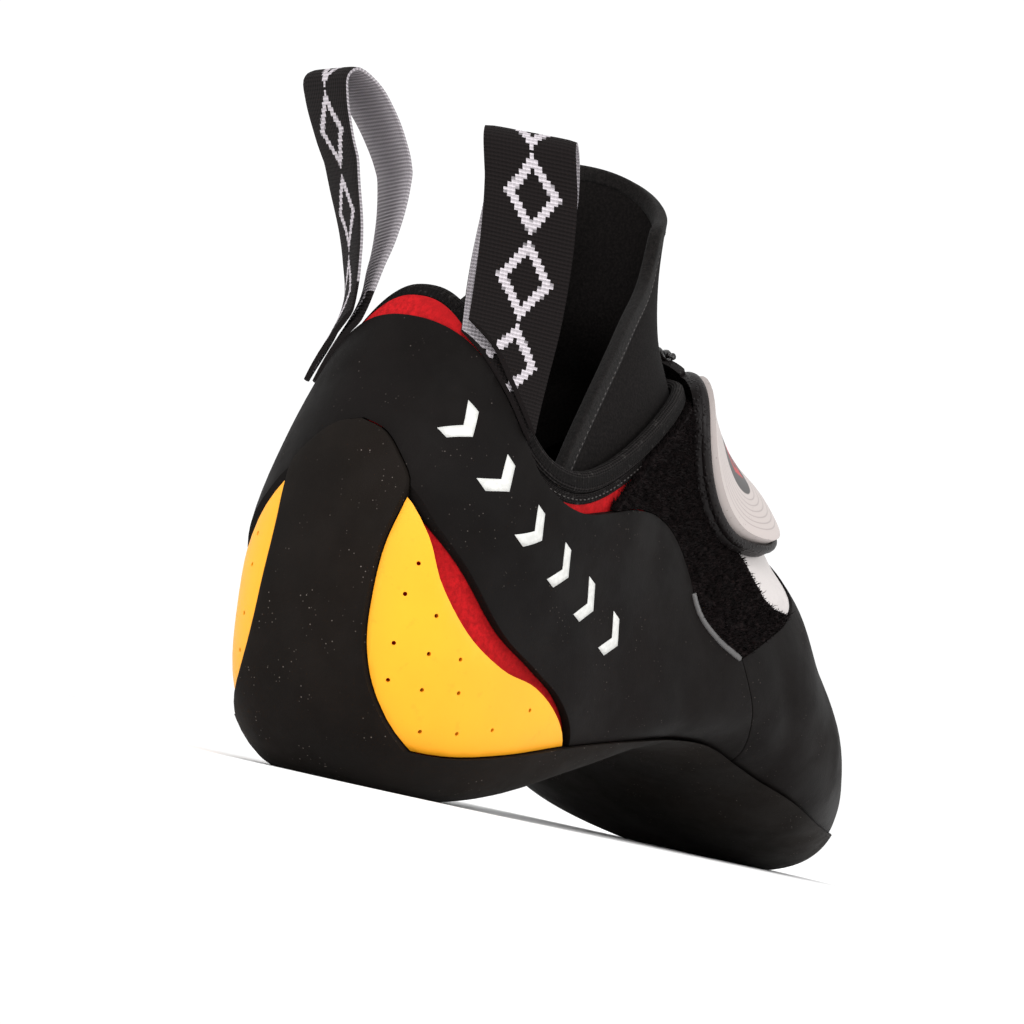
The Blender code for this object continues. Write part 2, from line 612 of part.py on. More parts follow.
def make_pull_loops():
    """Each loop is one ribbon, up on the outside, over the top and down again."""
    path = loop_path()
    heights, openings = path.T
    rise, run = np.gradient(path * (LOOP_RISE, LOOP_OPENING / 2), axis=0).T
    legs = np.linspace(1, -1, LOOP_STEPS)
    apart = (LOOP_WALL + LOOP_SPACE) / 2 * np.clip(LOOP_PARTING * legs, -1, 1)
    lift = THIN_RUBBER - SOLE_RUBBER + GAP + LOOP_WALL + LOOP_SPACE / 2
    for name, foot, turn, lean, sway, twist in PULL_LOOPS:
        levels = foot * HEEL_HEIGHT + heights * LOOP_RISE
        middles, normals = up_the_heel(turn, levels)
        middles[:, 2] = levels
        outward = normals[0] * (1, 1, 0)
        outward /= np.linalg.norm(outward)
        side = np.array([-outward[1], outward[0], 0.0])
        points = []
        for step, height in enumerate(heights):
            angle = np.radians(twist) * np.clip((height - LOOP_FOOT) / (1 - LOOP_FOOT), 0, 1)
            out = outward * np.cos(angle) + side * np.sin(angle)
            across = side * np.cos(angle) - outward * np.sin(angle)
            middle = middles[step] + (outward * lean + side * sway) * LOOP_RISE * height**2
            middle = middle + out * (lift + openings[step] * LOOP_OPENING / 2 + apart[step])
            length = np.hypot(rise[step], run[step])
            edge = out * (rise[step] / length) - np.array([0.0, 0.0, run[step] / length])
            for wide, thick in RIBBON:
                bow = LOOP_BOW * wide**2 * max(0.0, 1 - LOOP_BOW_FADE * height)
                points.append(middle + across * wide * LOOP_WIDTH / 2 - out * bow + edge * thick * LOOP_WALL / 2)
        count = len(RIBBON)
        faces = []
        for ring in range(LOOP_STEPS - 1):
            for corner in range(count):
                here, beside = ring * count + corner, ring * count + (corner + 1) % count
                faces.append((here, beside, beside + count, here + count))
        faces.append(tuple(range(count)))
        faces.append(tuple(len(points) - count + corner for corner in range(count)))
        loop = add_object(name, points, faces, PARTS)
        loop.data.materials.append(material(BLACK_KNIT))
        cut(loop, band_region(f"band under {name}", GAP))


for leftover in list(bpy.data.objects):
    bpy.data.objects.remove(leftover)
PARTS = collection("climbing shoe")
CUTTERS = collection("cutters")

make_upper()
make_insole()
make_outsole()
make_arch_rand()
make_heel_band()
make_toe_rand()
make_side_patches()
make_heel_tab()
make_collar_binding()
make_tongue()
make_hook_patch()
make_vamp_panel()
make_strap()
make_strap_pad()
make_pull_loops()
for made in list(PARTS.objects) + list(CUTTERS.objects):
    made.location.x = -HEEL_REST * LENGTH
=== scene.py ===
"""Looks of a climbing shoe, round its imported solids.

Each layer of rubber and fabric is carved from a fine copy of the shoe's own form, so that it
lies where its solid lies. Metres; X from heel to toe, Y to the medial side, Z up from the floor.
"""

import math

import bmesh
import bpy
import numpy as np
from bpy.props import FloatProperty, FloatVectorProperty, IntProperty, PointerProperty
from mathutils import Matrix, Vector
from mathutils.bvhtree import BVHTree


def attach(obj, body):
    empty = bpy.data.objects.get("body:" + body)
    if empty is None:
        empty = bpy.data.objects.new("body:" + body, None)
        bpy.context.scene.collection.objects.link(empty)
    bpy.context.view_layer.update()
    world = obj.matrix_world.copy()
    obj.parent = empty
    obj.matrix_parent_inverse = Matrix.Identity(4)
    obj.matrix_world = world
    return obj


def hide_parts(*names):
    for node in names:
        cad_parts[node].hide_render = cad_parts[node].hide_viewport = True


bl_info = {
    "name": "Climbing shoe",
    "version": (1, 0, 0),
    "blender": (4, 5, 0),
    "location": "3D View > Sidebar > Shoe",
    "description": "Rubber, fabric, webbing and trims of a climbing shoe round its solids",
    "category": "Add Mesh",
}

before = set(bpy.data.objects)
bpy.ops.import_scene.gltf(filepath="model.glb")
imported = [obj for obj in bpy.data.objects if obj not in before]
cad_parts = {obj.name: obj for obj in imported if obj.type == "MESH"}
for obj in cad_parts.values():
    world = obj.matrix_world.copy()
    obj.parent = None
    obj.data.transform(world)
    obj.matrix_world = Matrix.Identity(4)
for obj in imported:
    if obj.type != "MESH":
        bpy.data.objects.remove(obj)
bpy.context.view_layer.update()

# Sections of the skin from the collar round the heel to the toe. Each runs from a point on the
# back and underside to a point on the front and instep.
# Heel sections: name, back x / length, back z / heel height, front x / length,
# front z / instep height, lateral and medial half width / heel width, centre y / ball width,
# where it is widest, squareness below and above
HEEL_SECTIONS = (
    ("tongue top", 0.098, 1.160, 0.410, 1.720, 0.330, 0.330, 0.000, 0.50, 2.2, 2.3),
    ("collar", 0.062, 0.940, 0.415, 1.440, 0.366, 0.366, 0.000, 0.50, 2.2, 2.3),
    ("ankle", 0.035, 0.768, 0.419, 1.325, 0.424, 0.424, 0.000, 0.48, 2.3, 2.3),
    ("tendon", 0.012, 0.587, 0.433, 1.260, 0.465, 0.465, 0.000, 0.46, 2.4, 2.4),
    ("heel back", 0.004, 0.410, 0.450, 1.218, 0.493, 0.493, 0.000, 0.44, 2.6, 2.4),
    ("heel cup", 0.009, 0.240, 0.470, 1.176, 0.494, 0.491, 0.000, 0.42, 2.7, 2.4),
    ("heel curve", 0.032, 0.096, 0.495, 1.130, 0.499, 0.493, 0.000, 0.40, 2.8, 2.4),
    ("heel base", 0.087, 0.003, 0.521, 1.084, 0.506, 0.504, -0.002, 0.38, 2.8, 2.4),
    ("heel front", 0.169, 0.000, 0.552, 1.040, 0.516, 0.510, -0.002, 0.38, 2.7, 2.4),
)
# Forefoot sections: the same columns, with back z / arch height and half widths / ball width
FOREFOOT_SECTIONS = (
    ("waist back", 0.258, 0.341, 0.587, 0.990, 0.394, 0.377, -0.014, 0.38, 2.6, 2.4),
    ("waist", 0.357, 0.800, 0.625, 0.892, 0.422, 0.385, -0.016, 0.38, 2.6, 2.3),
    ("arch", 0.455, 1.010, 0.664, 0.815, 0.464, 0.425, -0.002, 0.38, 2.6, 2.2),
    ("instep", 0.553, 0.859, 0.703, 0.707, 0.488, 0.470, 0.015, 0.38, 2.7, 2.0),
    ("ball", 0.652, 0.444, 0.758, 0.616, 0.495, 0.508, 0.041, 0.38, 2.7, 2.0),
    ("ball front", 0.744, 0.161, 0.814, 0.523, 0.458, 0.491, 0.072, 0.40, 2.7, 2.0),
    ("toes back", 0.827, 0.020, 0.871, 0.440, 0.399, 0.396, 0.101, 0.42, 2.6, 2.1),
    ("toes", 0.901, -0.024, 0.925, 0.371, 0.311, 0.284, 0.124, 0.45, 2.5, 2.1),
    ("toe end", 0.958, 0.059, 0.964, 0.307, 0.214, 0.171, 0.142, 0.48, 2.3, 2.2),
    ("tip", 0.988, 0.302, 0.987, 0.244, 0.129, 0.083, 0.143, 0.50, 2.1, 2.1),
    ("tip close", 0.998, 0.561, 0.998, 0.180, 0.043, 0.033, 0.143, 0.50, 2.0, 2.0),
)

# Lines across the side view: x / length, z / heel height
COLLAR_LINE = (
    (-0.06, 1.02), (0.070, 1.014), (0.085, 0.970), (0.095, 0.886), (0.105, 0.800), (0.117, 0.733),
    (0.132, 0.690), (0.153, 0.676), (0.182, 0.679), (0.219, 0.714), (0.273, 0.790), (0.331, 0.876),
    (0.380, 0.933), (0.430, 0.962), (0.540, 0.990),
)
BAND_TOP = (
    (-0.06, 0.905), (0.060, 0.895), (0.071, 0.867), (0.085, 0.795), (0.103, 0.700), (0.122, 0.638),
    (0.149, 0.608), (0.182, 0.601), (0.223, 0.619), (0.269, 0.643), (0.318, 0.648), (0.364, 0.619),
    (0.397, 0.552), (0.411, 0.486), (0.432, 0.452), (0.473, 0.419),
)
BAND_BOTTOM = (
    (-0.06, 0.585), (0.022, 0.580), (0.038, 0.500), (0.061, 0.433), (0.107, 0.336),
    (0.163, 0.282), (0.202, 0.245), (0.236, 0.180), (0.249, 0.100), (0.252, -0.110),
)
BAND_FRONT = ((0.473, 0.419), (0.500, 0.305), (0.550, 0.190), (0.579, -0.110))
TOE_BACK = ((0.473, 0.419), (0.512, 0.466), (0.562, 0.525), (0.605, 0.590), (0.626, 0.710), (0.632, 1.0))
SIDE_PATCH_FRONT = (
    (-0.05, 0.620), (0.020, 0.571), (0.034, 0.486), (0.045, 0.400), (0.076, 0.317), (0.120, 0.270),
    (0.167, 0.253), (0.198, 0.224), (0.234, 0.157), (0.240, 0.0),
)
HOOK_BACK = ((0.31, 1.2), (0.300, 0.880), (0.285, 0.752), (0.255, 0.680), (0.226, 0.600), (0.21, 0.40))
STRAP_BACK = ((0.500, 1.18), (0.440, 1.01), (0.385, 0.84), (0.352, 0.66), (0.330, 0.42))
STRAP_FRONT = ((0.615, 1.03), (0.553, 0.86), (0.495, 0.66), (0.440, 0.40))
TONGUE_BACK = (
    (0.152, 0.560), (0.178, 0.690), (0.225, 0.860), (0.278, 1.010), (0.318, 1.110), (0.332, 1.200),
    (0.326, 1.290), (0.320, 1.400),
)
TONGUE_FRONT = ((0.500, 1.40), (0.490, 0.89), (0.340, 0.56))
# Top edge of the sole, across the side view: x / length, z / arch height
SOLE_EDGE = (
    (-0.06, 0.389), (0.033, 0.415), (0.097, 0.430), (0.153, 0.563), (0.240, 0.809), (0.310, 0.973),
    (0.401, 1.122), (0.488, 1.173), (0.558, 1.024), (0.624, 0.860), (0.727, 0.625), (0.826, 0.563),
    (0.917, 0.610), (1.040, 0.681),
)
# Half width of the rubber up the back of the heel: z / heel height, half width / heel width
HEEL_STRIP = (
    (-0.10, 0.50), (0.085, 0.296), (0.170, 0.228), (0.256, 0.193), (0.350, 0.183), (0.450, 0.184),
    (0.530, 0.200), (0.565, 0.205), (0.620, 0.150), (0.660, 0.080), (0.675, 0.0),
)
# Top edge of the tongue from behind: y / ball width, z / heel height
TONGUE_TOP = (
    (-0.50, 0.900), (-0.300, 1.080), (-0.200, 1.180), (-0.110, 1.260), (0.0, 1.325), (0.110, 1.342),
    (0.200, 1.300), (0.290, 1.180), (0.50, 0.900),
)
# Cut-out of the sole under the medial arch, seen from above: x / length, y / ball width
ARCH_CUT = (
    (0.270, 0.80), (0.278, 0.36), (0.305, 0.17), (0.370, 0.085), (0.445, 0.075), (0.505, 0.110),
    (0.556, 0.165), (0.583, 0.260), (0.612, 0.430), (0.640, 0.80),
)
# Lateral edge of the panel in front of the strap, seen from above: x / length, y / ball width
PANEL_EDGE = ((0.478, 0.55), (0.480, 0.0), (0.487, -0.30), (0.516, -0.362), (0.600, -0.386))
# Side outline of a pull loop: height / rise, opening / its greatest opening
LOOP_SHAPE = (
    (0.0, 0.0), (0.18, 0.0), (0.34, 0.18), (0.50, 0.50), (0.66, 0.84), (0.80, 1.0), (0.90, 0.92),
    (0.965, 0.66), (1.0, 0.0),
)
# Pull loops: name, height of the foot / heel height, share of a turn round the form, lean outwards
# and sideways / rise, twist in degrees
PULL_LOOPS = (
    ("pull_loop_lateral", 0.68, -0.125, 0.10, -0.17, -29.0),
    ("pull_loop_medial", 0.75, 0.125, 0.36, 0.09, 24.0),
)
# Folds in the rubber and upper: name, x / length, z / heel height, side, slope in degrees,
# half length and half width / heel height, height / rand rubber
CREASES = (
    ("under the loop", 0.060, 0.800, -1, -48, 0.16, 0.022, -0.35),
    ("beside it", 0.085, 0.745, -1, -50, 0.13, 0.020, 0.30),
    ("waist fold", 0.395, 0.300, -1, -62, 0.16, 0.035, -0.32),
    ("toe fold", 0.560, 0.330, -1, -64, 0.15, 0.030, -0.30),
    ("ball fold", 0.690, 0.300, -1, -70, 0.12, 0.030, 0.25),
    ("heel dent", 0.050, 0.170, -1, 20, 0.10, 0.040, -0.30),
    ("medial fold", 0.400, 0.350, 1, -60, 0.16, 0.035, -0.40),
    ("medial toe fold", 0.600, 0.300, 1, -70, 0.15, 0.035, -0.30),
)

# Pinholes of the yellow patches: x / length, z / heel height
PINHOLES = (
    (0.026, 0.427), (0.022, 0.365), (0.043, 0.338), (0.024, 0.270), (0.046, 0.265), (0.072, 0.269),
    (0.030, 0.199), (0.052, 0.195), (0.081, 0.206), (0.065, 0.117), (0.095, 0.130), (0.129, 0.153),
    (0.167, 0.208),
)
# Middle line of the marks on the heel band: x / length, z / heel height
BAND_MARKS = (
    (0.046, 0.735), (0.078, 0.622), (0.112, 0.545), (0.170, 0.480), (0.226, 0.428), (0.300, 0.352),
)

FAR = 0.2
EVENNESS = 1.2  # half the mean squareness, to space the points round a ring evenly
HEEL_STRIP_FRONT = 0.12  # shares of length, as are the next three
HEEL_TAB_FRONT = 0.088
HOOK_FRONT = 0.63
SOLE_BAR = (0.09, 0.93)  # ends of the bar along the underside
SOLE_BAR_TOP = 1.2  # over arch height
PANEL_FLOOR = 0.4  # over heel height
LASTING_REACH = 0.010  # how far the bar cuts into the upper, and into the insole
INSOLE_REACH = 0.012
# Where the bead with the painted highlight starts along the band's top edge
BAND_HIGHLIGHT_BACK = 0.40  # over length
LOOP_BOW_FADE = 1.6  # how fast a loop's bow ends up its rise
LOOP_PARTING = 4  # a loop's legs keep their space but for one part in this many at the top
LAID_TO = (0.12, 0.42)  # a loop lies on the heel to the first share of its rise, and is free at the next
WEFT = 0.0008  # pitch of the webbing's ribs and threads
MOTIF = 0.0085  # half the repeat of the woven lozenges


def size(name, description, value):
    return FloatProperty(name=name, description=description, default=value, unit="LENGTH")


def share(name, description, value):
    return FloatProperty(name=name, description=description, default=value)


def angle(name, description, value):
    return FloatProperty(name=name, description=description, default=math.radians(value), subtype="ANGLE")


def divisions(name, description, value):
    return IntProperty(name=name, description=description, default=value)


def colour(name, description, value):
    return FloatVectorProperty(
        name=name, description=description, default=value, subtype="COLOR", size=3, min=0, max=1
    )


class ShoeSizes(bpy.types.PropertyGroup):
    """Driving sizes of the shoe, in metres."""

    length: size("Length", "Heel to toe", 0.242)
    heel_height: size("Heel height", "Floor to collar at the back", 0.105)
    instep_height: size("Instep height", "Floor to instep", 0.086)
    arch_height: size("Arch height", "Floor to waist", 0.0205)
    heel_width: size("Heel width", "Across the heel cup", 0.068)
    ball_width: size("Ball width", "Across the ball", 0.092)
    heel_rest: share("Heel rest", "Back of heel to middle of its flat / length", 0.130)
    ground_flat: size("Ground flat", "Rubber ground away at the rests", 0.0012)
    gap: size("Gap", "Between neighbouring layers", 0.0003)
    sole_rubber: size("Sole rubber", "Thickness", 0.0028)
    rand_rubber: size("Rand rubber", "Thickness", 0.0019)
    thin_rubber: size("Thin rubber", "Thickness", 0.0014)
    upper_wall: size("Upper wall", "Thickness", 0.0016)
    insole_board: size("Insole", "Thickness", 0.0014)
    tongue_wall: size("Tongue wall", "Thickness", 0.0025)
    binding_wall: size("Binding", "Thickness", 0.0028)
    strap_wall: size("Strap", "Thickness", 0.0018)
    pad_wall: size("Pad", "Thickness", 0.0026)
    lasting_margin: size("Lasting margin", "Upper turned in below", 0.012)
    insole_margin: size("Insole margin", "Edge to insole", 0.006)
    binding_width: size("Binding width", "Down from the edge", 0.0045)
    pad_long: size("Pad length", "Along the instep", 0.044)
    pad_wide: size("Pad width", "Across the instep", 0.036)
    pad_rim: size("Pad rim", "Strap round the pad", 0.0020)
    pad_station: share("Pad station", "Share along the form", 0.285)
    pad_turn: share("Pad turn", "Share of a turn", 0.585)
    strap_end: share("Strap end", "Lateral end / ball width", -0.16)
    tape_width: size("Tape width", "Under the collar binding", 0.0022)
    tongue_hem: size("Tongue hem", "Strip round the tongue's edge", 0.0036)
    pinhole: size("Pinhole", "Diameter in the side patches", 0.0009)
    mark_height: size("Mark height", "Chevrons on the band", 0.0090)
    mark_stroke: size("Mark stroke", "Chevrons on the band", 0.0030)
    loop_width: size("Loop width", "Webbing width", 0.019)
    loop_wall: size("Loop wall", "Webbing thickness", 0.0011)
    loop_rise: size("Loop rise", "Foot to top", 0.063)
    loop_opening: size("Loop opening", "Between its legs", 0.011)
    loop_bow: size("Loop bow", "Bend round the heel", 0.0008)
    loop_foot: share("Loop foot", "Share that lies on the heel", 0.30)
    loop_space: size("Loop space", "Between its legs at the foot", 0.0007)
    toe_ease: share("Toe ease", "Over 1, rings lie closer at the toe", 1.3)
    rings: divisions("Rings", "Divisions from collar to toe", 150)
    around: divisions("Around", "Divisions round each ring", 128)


class ShoeColours(bpy.types.PropertyGroup):
    """Base colours of the materials."""

    sole: colour("Sole rubber", "Brown-black rubber", (0.0042, 0.0030, 0.0023))
    rand: colour("Rand rubber", "Black rubber", (0.0026, 0.0019, 0.0017))
    yellow: colour("Yellow rubber", "Side patches", (0.82, 0.34, 0.010))
    red: colour("Red microfibre", "Upper", (0.33, 0.005, 0.007))
    knit: colour("Knit", "Collar binding", (0.0055, 0.0045, 0.0043))
    neoprene: colour("Neoprene", "Tongue", (0.0048, 0.0040, 0.0038))
    pile: colour("Pile", "Closure patch", (0.0036, 0.0022, 0.0022))
    panel: colour("Panel", "In front of the strap", (0.46, 0.43, 0.42))
    pad: colour("Pad", "End of the strap", (0.38, 0.335, 0.32))
    webbing: colour("Webbing", "Pull loops", (0.0058, 0.0042, 0.0042))
    webbing_back: colour("Webbing back", "Reverse of the loops", (0.27, 0.25, 0.265))
    thread: colour("Thread", "Stitches", (0.055, 0.050, 0.048))
    # Pale grey of the bead on the band's front top edge: a painted highlight
    hem: colour("Edge highlight", "Front end of the band", (0.060, 0.057, 0.057))
    ink: colour("Ink", "Marks on the band", (0.54, 0.54, 0.52))
    mark: colour("Mark", "Middle of the pad", (0.030, 0.026, 0.025))
    lining: colour("Lining", "Inside the upper", (0.0012, 0.0008, 0.0008))
    insole: colour("Insole", "Grey fabric", (0.05, 0.045, 0.042))


class ShoeView(bpy.types.PropertyGroup):
    """Camera."""

    azimuth: angle("Azimuth", "From straight behind to the lateral side", 30.7)
    elevation: angle("Elevation", "Below the horizon if negative", -4.2)
    roll: angle("Roll", "Turn of the picture", 12.5)
    distance: size("Distance", "Camera to shoe", 0.813)
    lens: share("Lens", "Focal length in millimetres", 129.0)


def sizes():
    return bpy.context.scene.shoe_sizes


def colours():
    return bpy.context.scene.shoe_colours


# Depth of each layer's outer face under the skin
def upper_depth():
    return sizes().sole_rubber + sizes().gap


def lining_depth():
    return upper_depth() + sizes().upper_wall


def binding_depth():
    return lining_depth() + sizes().gap / 3 - sizes().binding_wall


def strap_depth():
    s = sizes()
    return s.sole_rubber - s.rand_rubber - s.gap - s.strap_wall


def pad_depth():
    return strap_depth() - sizes().gap - sizes().pad_wall


def resampled(rows, lengths, steps):
    """The rows at these shares of a smooth curve through them."""
    place = np.concatenate([[0.0], np.cumsum(lengths)])
    slopes = np.gradient(rows, place, axis=0)
    wanted = steps * place[-1]
    span = np.clip(np.searchsorted(place, wanted, side="right") - 1, 0, len(place) - 2)
    width = np.diff(place)[span][:, None]
    t = (wanted[:, None] - place[span][:, None]) / width
    start, end = rows[span], rows[span + 1]
    leave, arrive = slopes[span] * width, slopes[span + 1] * width
    return (
        start * (2 * t**3 - 3 * t**2 + 1)
        + leave * (t**3 - 2 * t**2 + t)
        + end * (3 * t**2 - 2 * t**3)
        + arrive * (t**3 - t**2)
    )


def curve(points, across, up, per_span=6):
    """A smooth line through points given as shares of two sizes."""
    line = np.array(points) * (across, up)
    lengths = np.linalg.norm(np.diff(line, axis=0), axis=1)
    return resampled(line, lengths, np.linspace(0, 1, per_span * (len(points) - 1) + 1))


def side_curve(points):
    line = curve(points, sizes().length, sizes().heel_height)
    line[:, 0] -= sizes().heel_rest * sizes().length
    return line


def sole_edge():
    line = curve(SOLE_EDGE, sizes().length, sizes().arch_height)
    line[:, 0] -= sizes().heel_rest * sizes().length
    return line


def shifted(line, distance):
    """The line moved to its left by the distance."""
    along = unit(np.gradient(line, axis=0))
    return line + distance * np.stack([-along[:, 1], along[:, 0]], axis=1)


def section_rows():
    """The section tables in metres, resampled from the collar to the toe."""
    s = sizes()
    start = s.heel_rest * s.length
    rows = []
    for table, rise, width in (
        (HEEL_SECTIONS, s.heel_height, s.heel_width),
        (FOREFOOT_SECTIONS, s.arch_height, s.ball_width),
    ):
        for _, back_x, back_z, front_x, front_z, lateral, medial, centre, *shape in table:
            rows.append((
                back_x * s.length - start, back_z * rise - s.ground_flat,
                front_x * s.length - start, front_z * s.instep_height - s.ground_flat,
                lateral * width, medial * width, centre * s.ball_width, *shape,
            ))
    rows = np.array(rows)
    steps = np.diff(rows, axis=0)
    lengths = (np.hypot(steps[:, 0], steps[:, 1]) + np.hypot(steps[:, 2], steps[:, 3])) / 2
    return resampled(rows, lengths, 1 - np.linspace(1, 0, s.rings) ** s.toe_ease)


def unit(vectors):
    """The vectors at a length of 1."""
    return vectors / np.linalg.norm(vectors, axis=-1, keepdims=True)


def beside_path(points, normals):
    """Unit vectors along a path and across it in the skin."""
    along = unit(np.gradient(points, axis=0))
    return along, np.cross(along, normals)


def grid_normals(points):
    along = np.gradient(points, axis=0)
    around = np.roll(points, -1, axis=1) - np.roll(points, 1, axis=1)
    normals = np.cross(around, along)
    normals[-1] = normals[-1].mean(axis=0)
    return unit(normals)


def creased(points, normals):
    """The skin with its folds pressed in or raised."""
    s = sizes()
    lift = np.zeros(points.shape[:2])
    for _, x, z, side, slope, long, wide, height in CREASES:
        centre = ((x - s.heel_rest) * s.length, z * s.heel_height)
        turn = math.radians(slope)
        dx, dz = points[:, :, 0] - centre[0], points[:, :, 2] - centre[1]
        along = (dx * math.cos(turn) + dz * math.sin(turn)) / (long * s.heel_height)
        across = (dz * math.cos(turn) - dx * math.sin(turn)) / (wide * s.heel_height)
        facing = np.clip(normals[:, :, 1] * side * 2, 0, 1)
        lift += height * s.rand_rubber * np.exp(-(along**2) - across**2) * facing
    return points + normals * lift[:, :, None]


def respaced(turn, power):
    """A share of a turn on another spacing round the ring."""
    angle = turn * 2 * np.pi
    sine, cosine = np.sin(angle), np.cos(angle)
    return np.arctan2(
        np.sign(sine) * np.abs(sine) ** power, np.sign(cosine) * np.abs(cosine) ** power
    ) / (2 * np.pi) % 1.0


def grid_step(turn):
    """The place in a ring's points of a share of a turn."""
    return respaced(turn, 1 / EVENNESS) * sizes().around


def make_skin():
    """Points of the outer skin, ring by ring, and its outward normals."""
    s = sizes()
    rows = section_rows()
    turn = respaced(np.arange(s.around) / s.around, EVENNESS) * 2 * np.pi
    cosine, sine = np.cos(turn), np.sin(turn)
    points = np.zeros((s.rings, s.around, 3))
    for ring, row in zip(points, rows):
        back, front = row[0:2], row[2:4]
        lateral, medial, centre, widest, below, above = row[4:]
        height = np.linalg.norm(front - back)
        squareness = np.where(cosine > 0, below, above)
        lift = np.abs(cosine) ** (2 / squareness)
        reach = np.abs(sine) ** (2 / squareness) * np.sign(sine)
        climb = np.where(cosine > 0, widest * (1 - lift), widest + (1 - widest) * lift) * height
        direction = (front - back) / height
        ring[:, 0] = back[0] + direction[0] * climb
        ring[:, 1] = centre + np.where(sine < 0, lateral, medial) * reach
        ring[:, 2] = back[1] + direction[1] * climb
    points = creased(points, grid_normals(points))
    return points, grid_normals(points)


KEPT = {}


def skin():
    """The skin's points and normals, worked out once."""
    if "skin" not in KEPT:
        KEPT["skin"] = make_skin()
    return KEPT["skin"]


def skin_at(ring, step, depth=0.0):
    """The point and normal at fractional grid places, this deep under the skin."""
    points, normals = skin()
    ring = np.clip(np.asarray(ring, float), 0, len(points) - 1.001)
    low = ring.astype(int)
    rest = (ring - low)[..., None]
    step = np.asarray(step, float) % points.shape[1]
    left = step.astype(int)
    right = (left + 1) % points.shape[1]
    side = (step - left)[..., None]
    found = []
    for grid in (points, normals):
        first = grid[low, left] * (1 - side) + grid[low, right] * side
        after = grid[low + 1, left] * (1 - side) + grid[low + 1, right] * side
        found.append(first * (1 - rest) + after * rest)
    normal = unit(found[1])
    return found[0] - normal * depth, normal


def skin_frame(station, turn):
    """Where the skin is at a share of its length and of a turn, with its axes there."""
    s = sizes()
    ring, step = station * (s.rings - 1), grid_step(turn)
    point, normal = skin_at(ring, step)
    ahead, _ = skin_at(ring + 0.5, step)
    behind, _ = skin_at(ring - 0.5, step)
    along = ahead - behind
    along = unit(along - normal * np.dot(along, normal))
    return Vector(point), Vector(along), Vector(np.cross(normal, along)), Vector(normal)


def clear_selection():
    for chosen in list(bpy.context.selected_objects):
        chosen.select_set(False)


def activate(piece):
    clear_selection()
    piece.select_set(True)
    bpy.context.view_layer.objects.active = piece


def mesh_object(name, points, faces, turn_out=False):
    """A mesh object from points and faces, placed at the origin."""
    mesh = bpy.data.meshes.new(name)
    mesh.from_pydata([tuple(point) for point in points], [], [tuple(face) for face in faces])
    if turn_out:
        edit = bmesh.new()
        edit.from_mesh(mesh)
        bmesh.ops.recalc_face_normals(edit, faces=edit.faces)
        edit.to_mesh(mesh)
        edit.free()
    mesh.update()
    made = bpy.data.objects.new(name, mesh)
    bpy.context.scene.collection.objects.link(made)
    return made


def form(name, depth):
    """The closed form of the shoe at a depth under its skin."""
    points, normals = skin()
    half = np.ptp(points[:, :, 1], axis=1) / 2
    rings = int(np.nonzero(half > 1.3 * depth + 0.0005)[0][-1]) + 1
    points, normals = points[:rings], normals[:rings]
    around = points.shape[1]
    moved = points - normals * depth
    moved[0, :, 2] += depth - pad_depth()
    faces = []
    for ring in range(rings - 1):
        for step in range(around):
            here, beside = ring * around + step, ring * around + (step + 1) % around
            faces.append((here, beside, beside + around, here + around))
    faces.append(tuple(reversed(range(around))))
    faces.append(tuple(range((rings - 1) * around, rings * around)))
    return mesh_object(name, moved.reshape(-1, 3), faces)


def prism(name, outline, axis, low, high):
    """A cutter with a flat outline, from low to high along the axis across it."""
    slot, count = "XYZ".index(axis), len(outline)
    points = [(*corner[:slot], end, *corner[slot:]) for end in (low, high) for corner in outline]
    faces = [tuple(range(count)), tuple(range(count, 2 * count))]
    faces += [(i, (i + 1) % count, (i + 1) % count + count, i + count) for i in range(count)]
    return mesh_object(name, points, faces, turn_out=True)


def carve(piece, operation, *cutters):
    """Applies Booleans with these cutters and removes them."""
    activate(piece)
    for cutter in cutters:
        modifier = piece.modifiers.new(operation.lower(), "BOOLEAN")
        modifier.object = cutter
        modifier.operation = operation
        modifier.solver = "EXACT"
        bpy.ops.object.modifier_apply(modifier=modifier.name)
        mesh = cutter.data
        bpy.data.objects.remove(cutter)
        bpy.data.meshes.remove(mesh)


def keep(piece, *cutters):
    carve(piece, "INTERSECT", *cutters)


def cut(piece, *cutters):
    carve(piece, "DIFFERENCE", *cutters)


def below(name, line, side=FAR):
    """A cutter with all that lies below a side line."""
    outline = [(-FAR, line[0][1])] + list(map(tuple, line)) + [(2 * FAR, line[-1][1])]
    outline += [(2 * FAR, -FAR), (-FAR, -FAR)]
    return prism(name, outline, "Y", -FAR, side)


def sole_region(grow=0.0):
    """What the outsole covers: all below its edge, and the strip up the back of the heel."""
    s = sizes()
    region = below("sole region", shifted(sole_edge(), grow))
    half = shifted(curve(HEEL_STRIP, s.heel_height, s.heel_width), grow)
    half[:, 1] = np.maximum(half[:, 1], 0.0)
    right = [(y, z) for z, y in half]
    left = [(-y, z) for z, y in half[:-1]][::-1]
    strip = prism("heel strip", right + left, "X", -FAR, s.length * (HEEL_STRIP_FRONT - s.heel_rest))
    carve(region, "UNION", strip)
    return region


def band_outline(grow=0.0):
    top, front, bottom = map(side_curve, (BAND_TOP, BAND_FRONT, BAND_BOTTOM))
    return np.concatenate([shifted(top, grow), shifted(front, grow)[1:], shifted(bottom, -grow)[::-1]])


def band_region(grow=0.0):
    """What the heel band covers, seen from the side."""
    return prism("band region", band_outline(grow), "Y", -FAR, FAR)


def toe_region(grow=0.0):
    back = np.concatenate([side_curve(BAND_FRONT)[::-1], side_curve(TOE_BACK)[1:]])
    outline = list(map(tuple, shifted(back, grow)))
    outline += [(2 * FAR, outline[-1][1]), (2 * FAR, outline[0][1])]
    return prism("toe region", outline, "Y", -FAR, FAR)


def plan_curve(points):
    line = curve(points, sizes().length, sizes().ball_width)
    line[:, 0] -= sizes().heel_rest * sizes().length
    return line


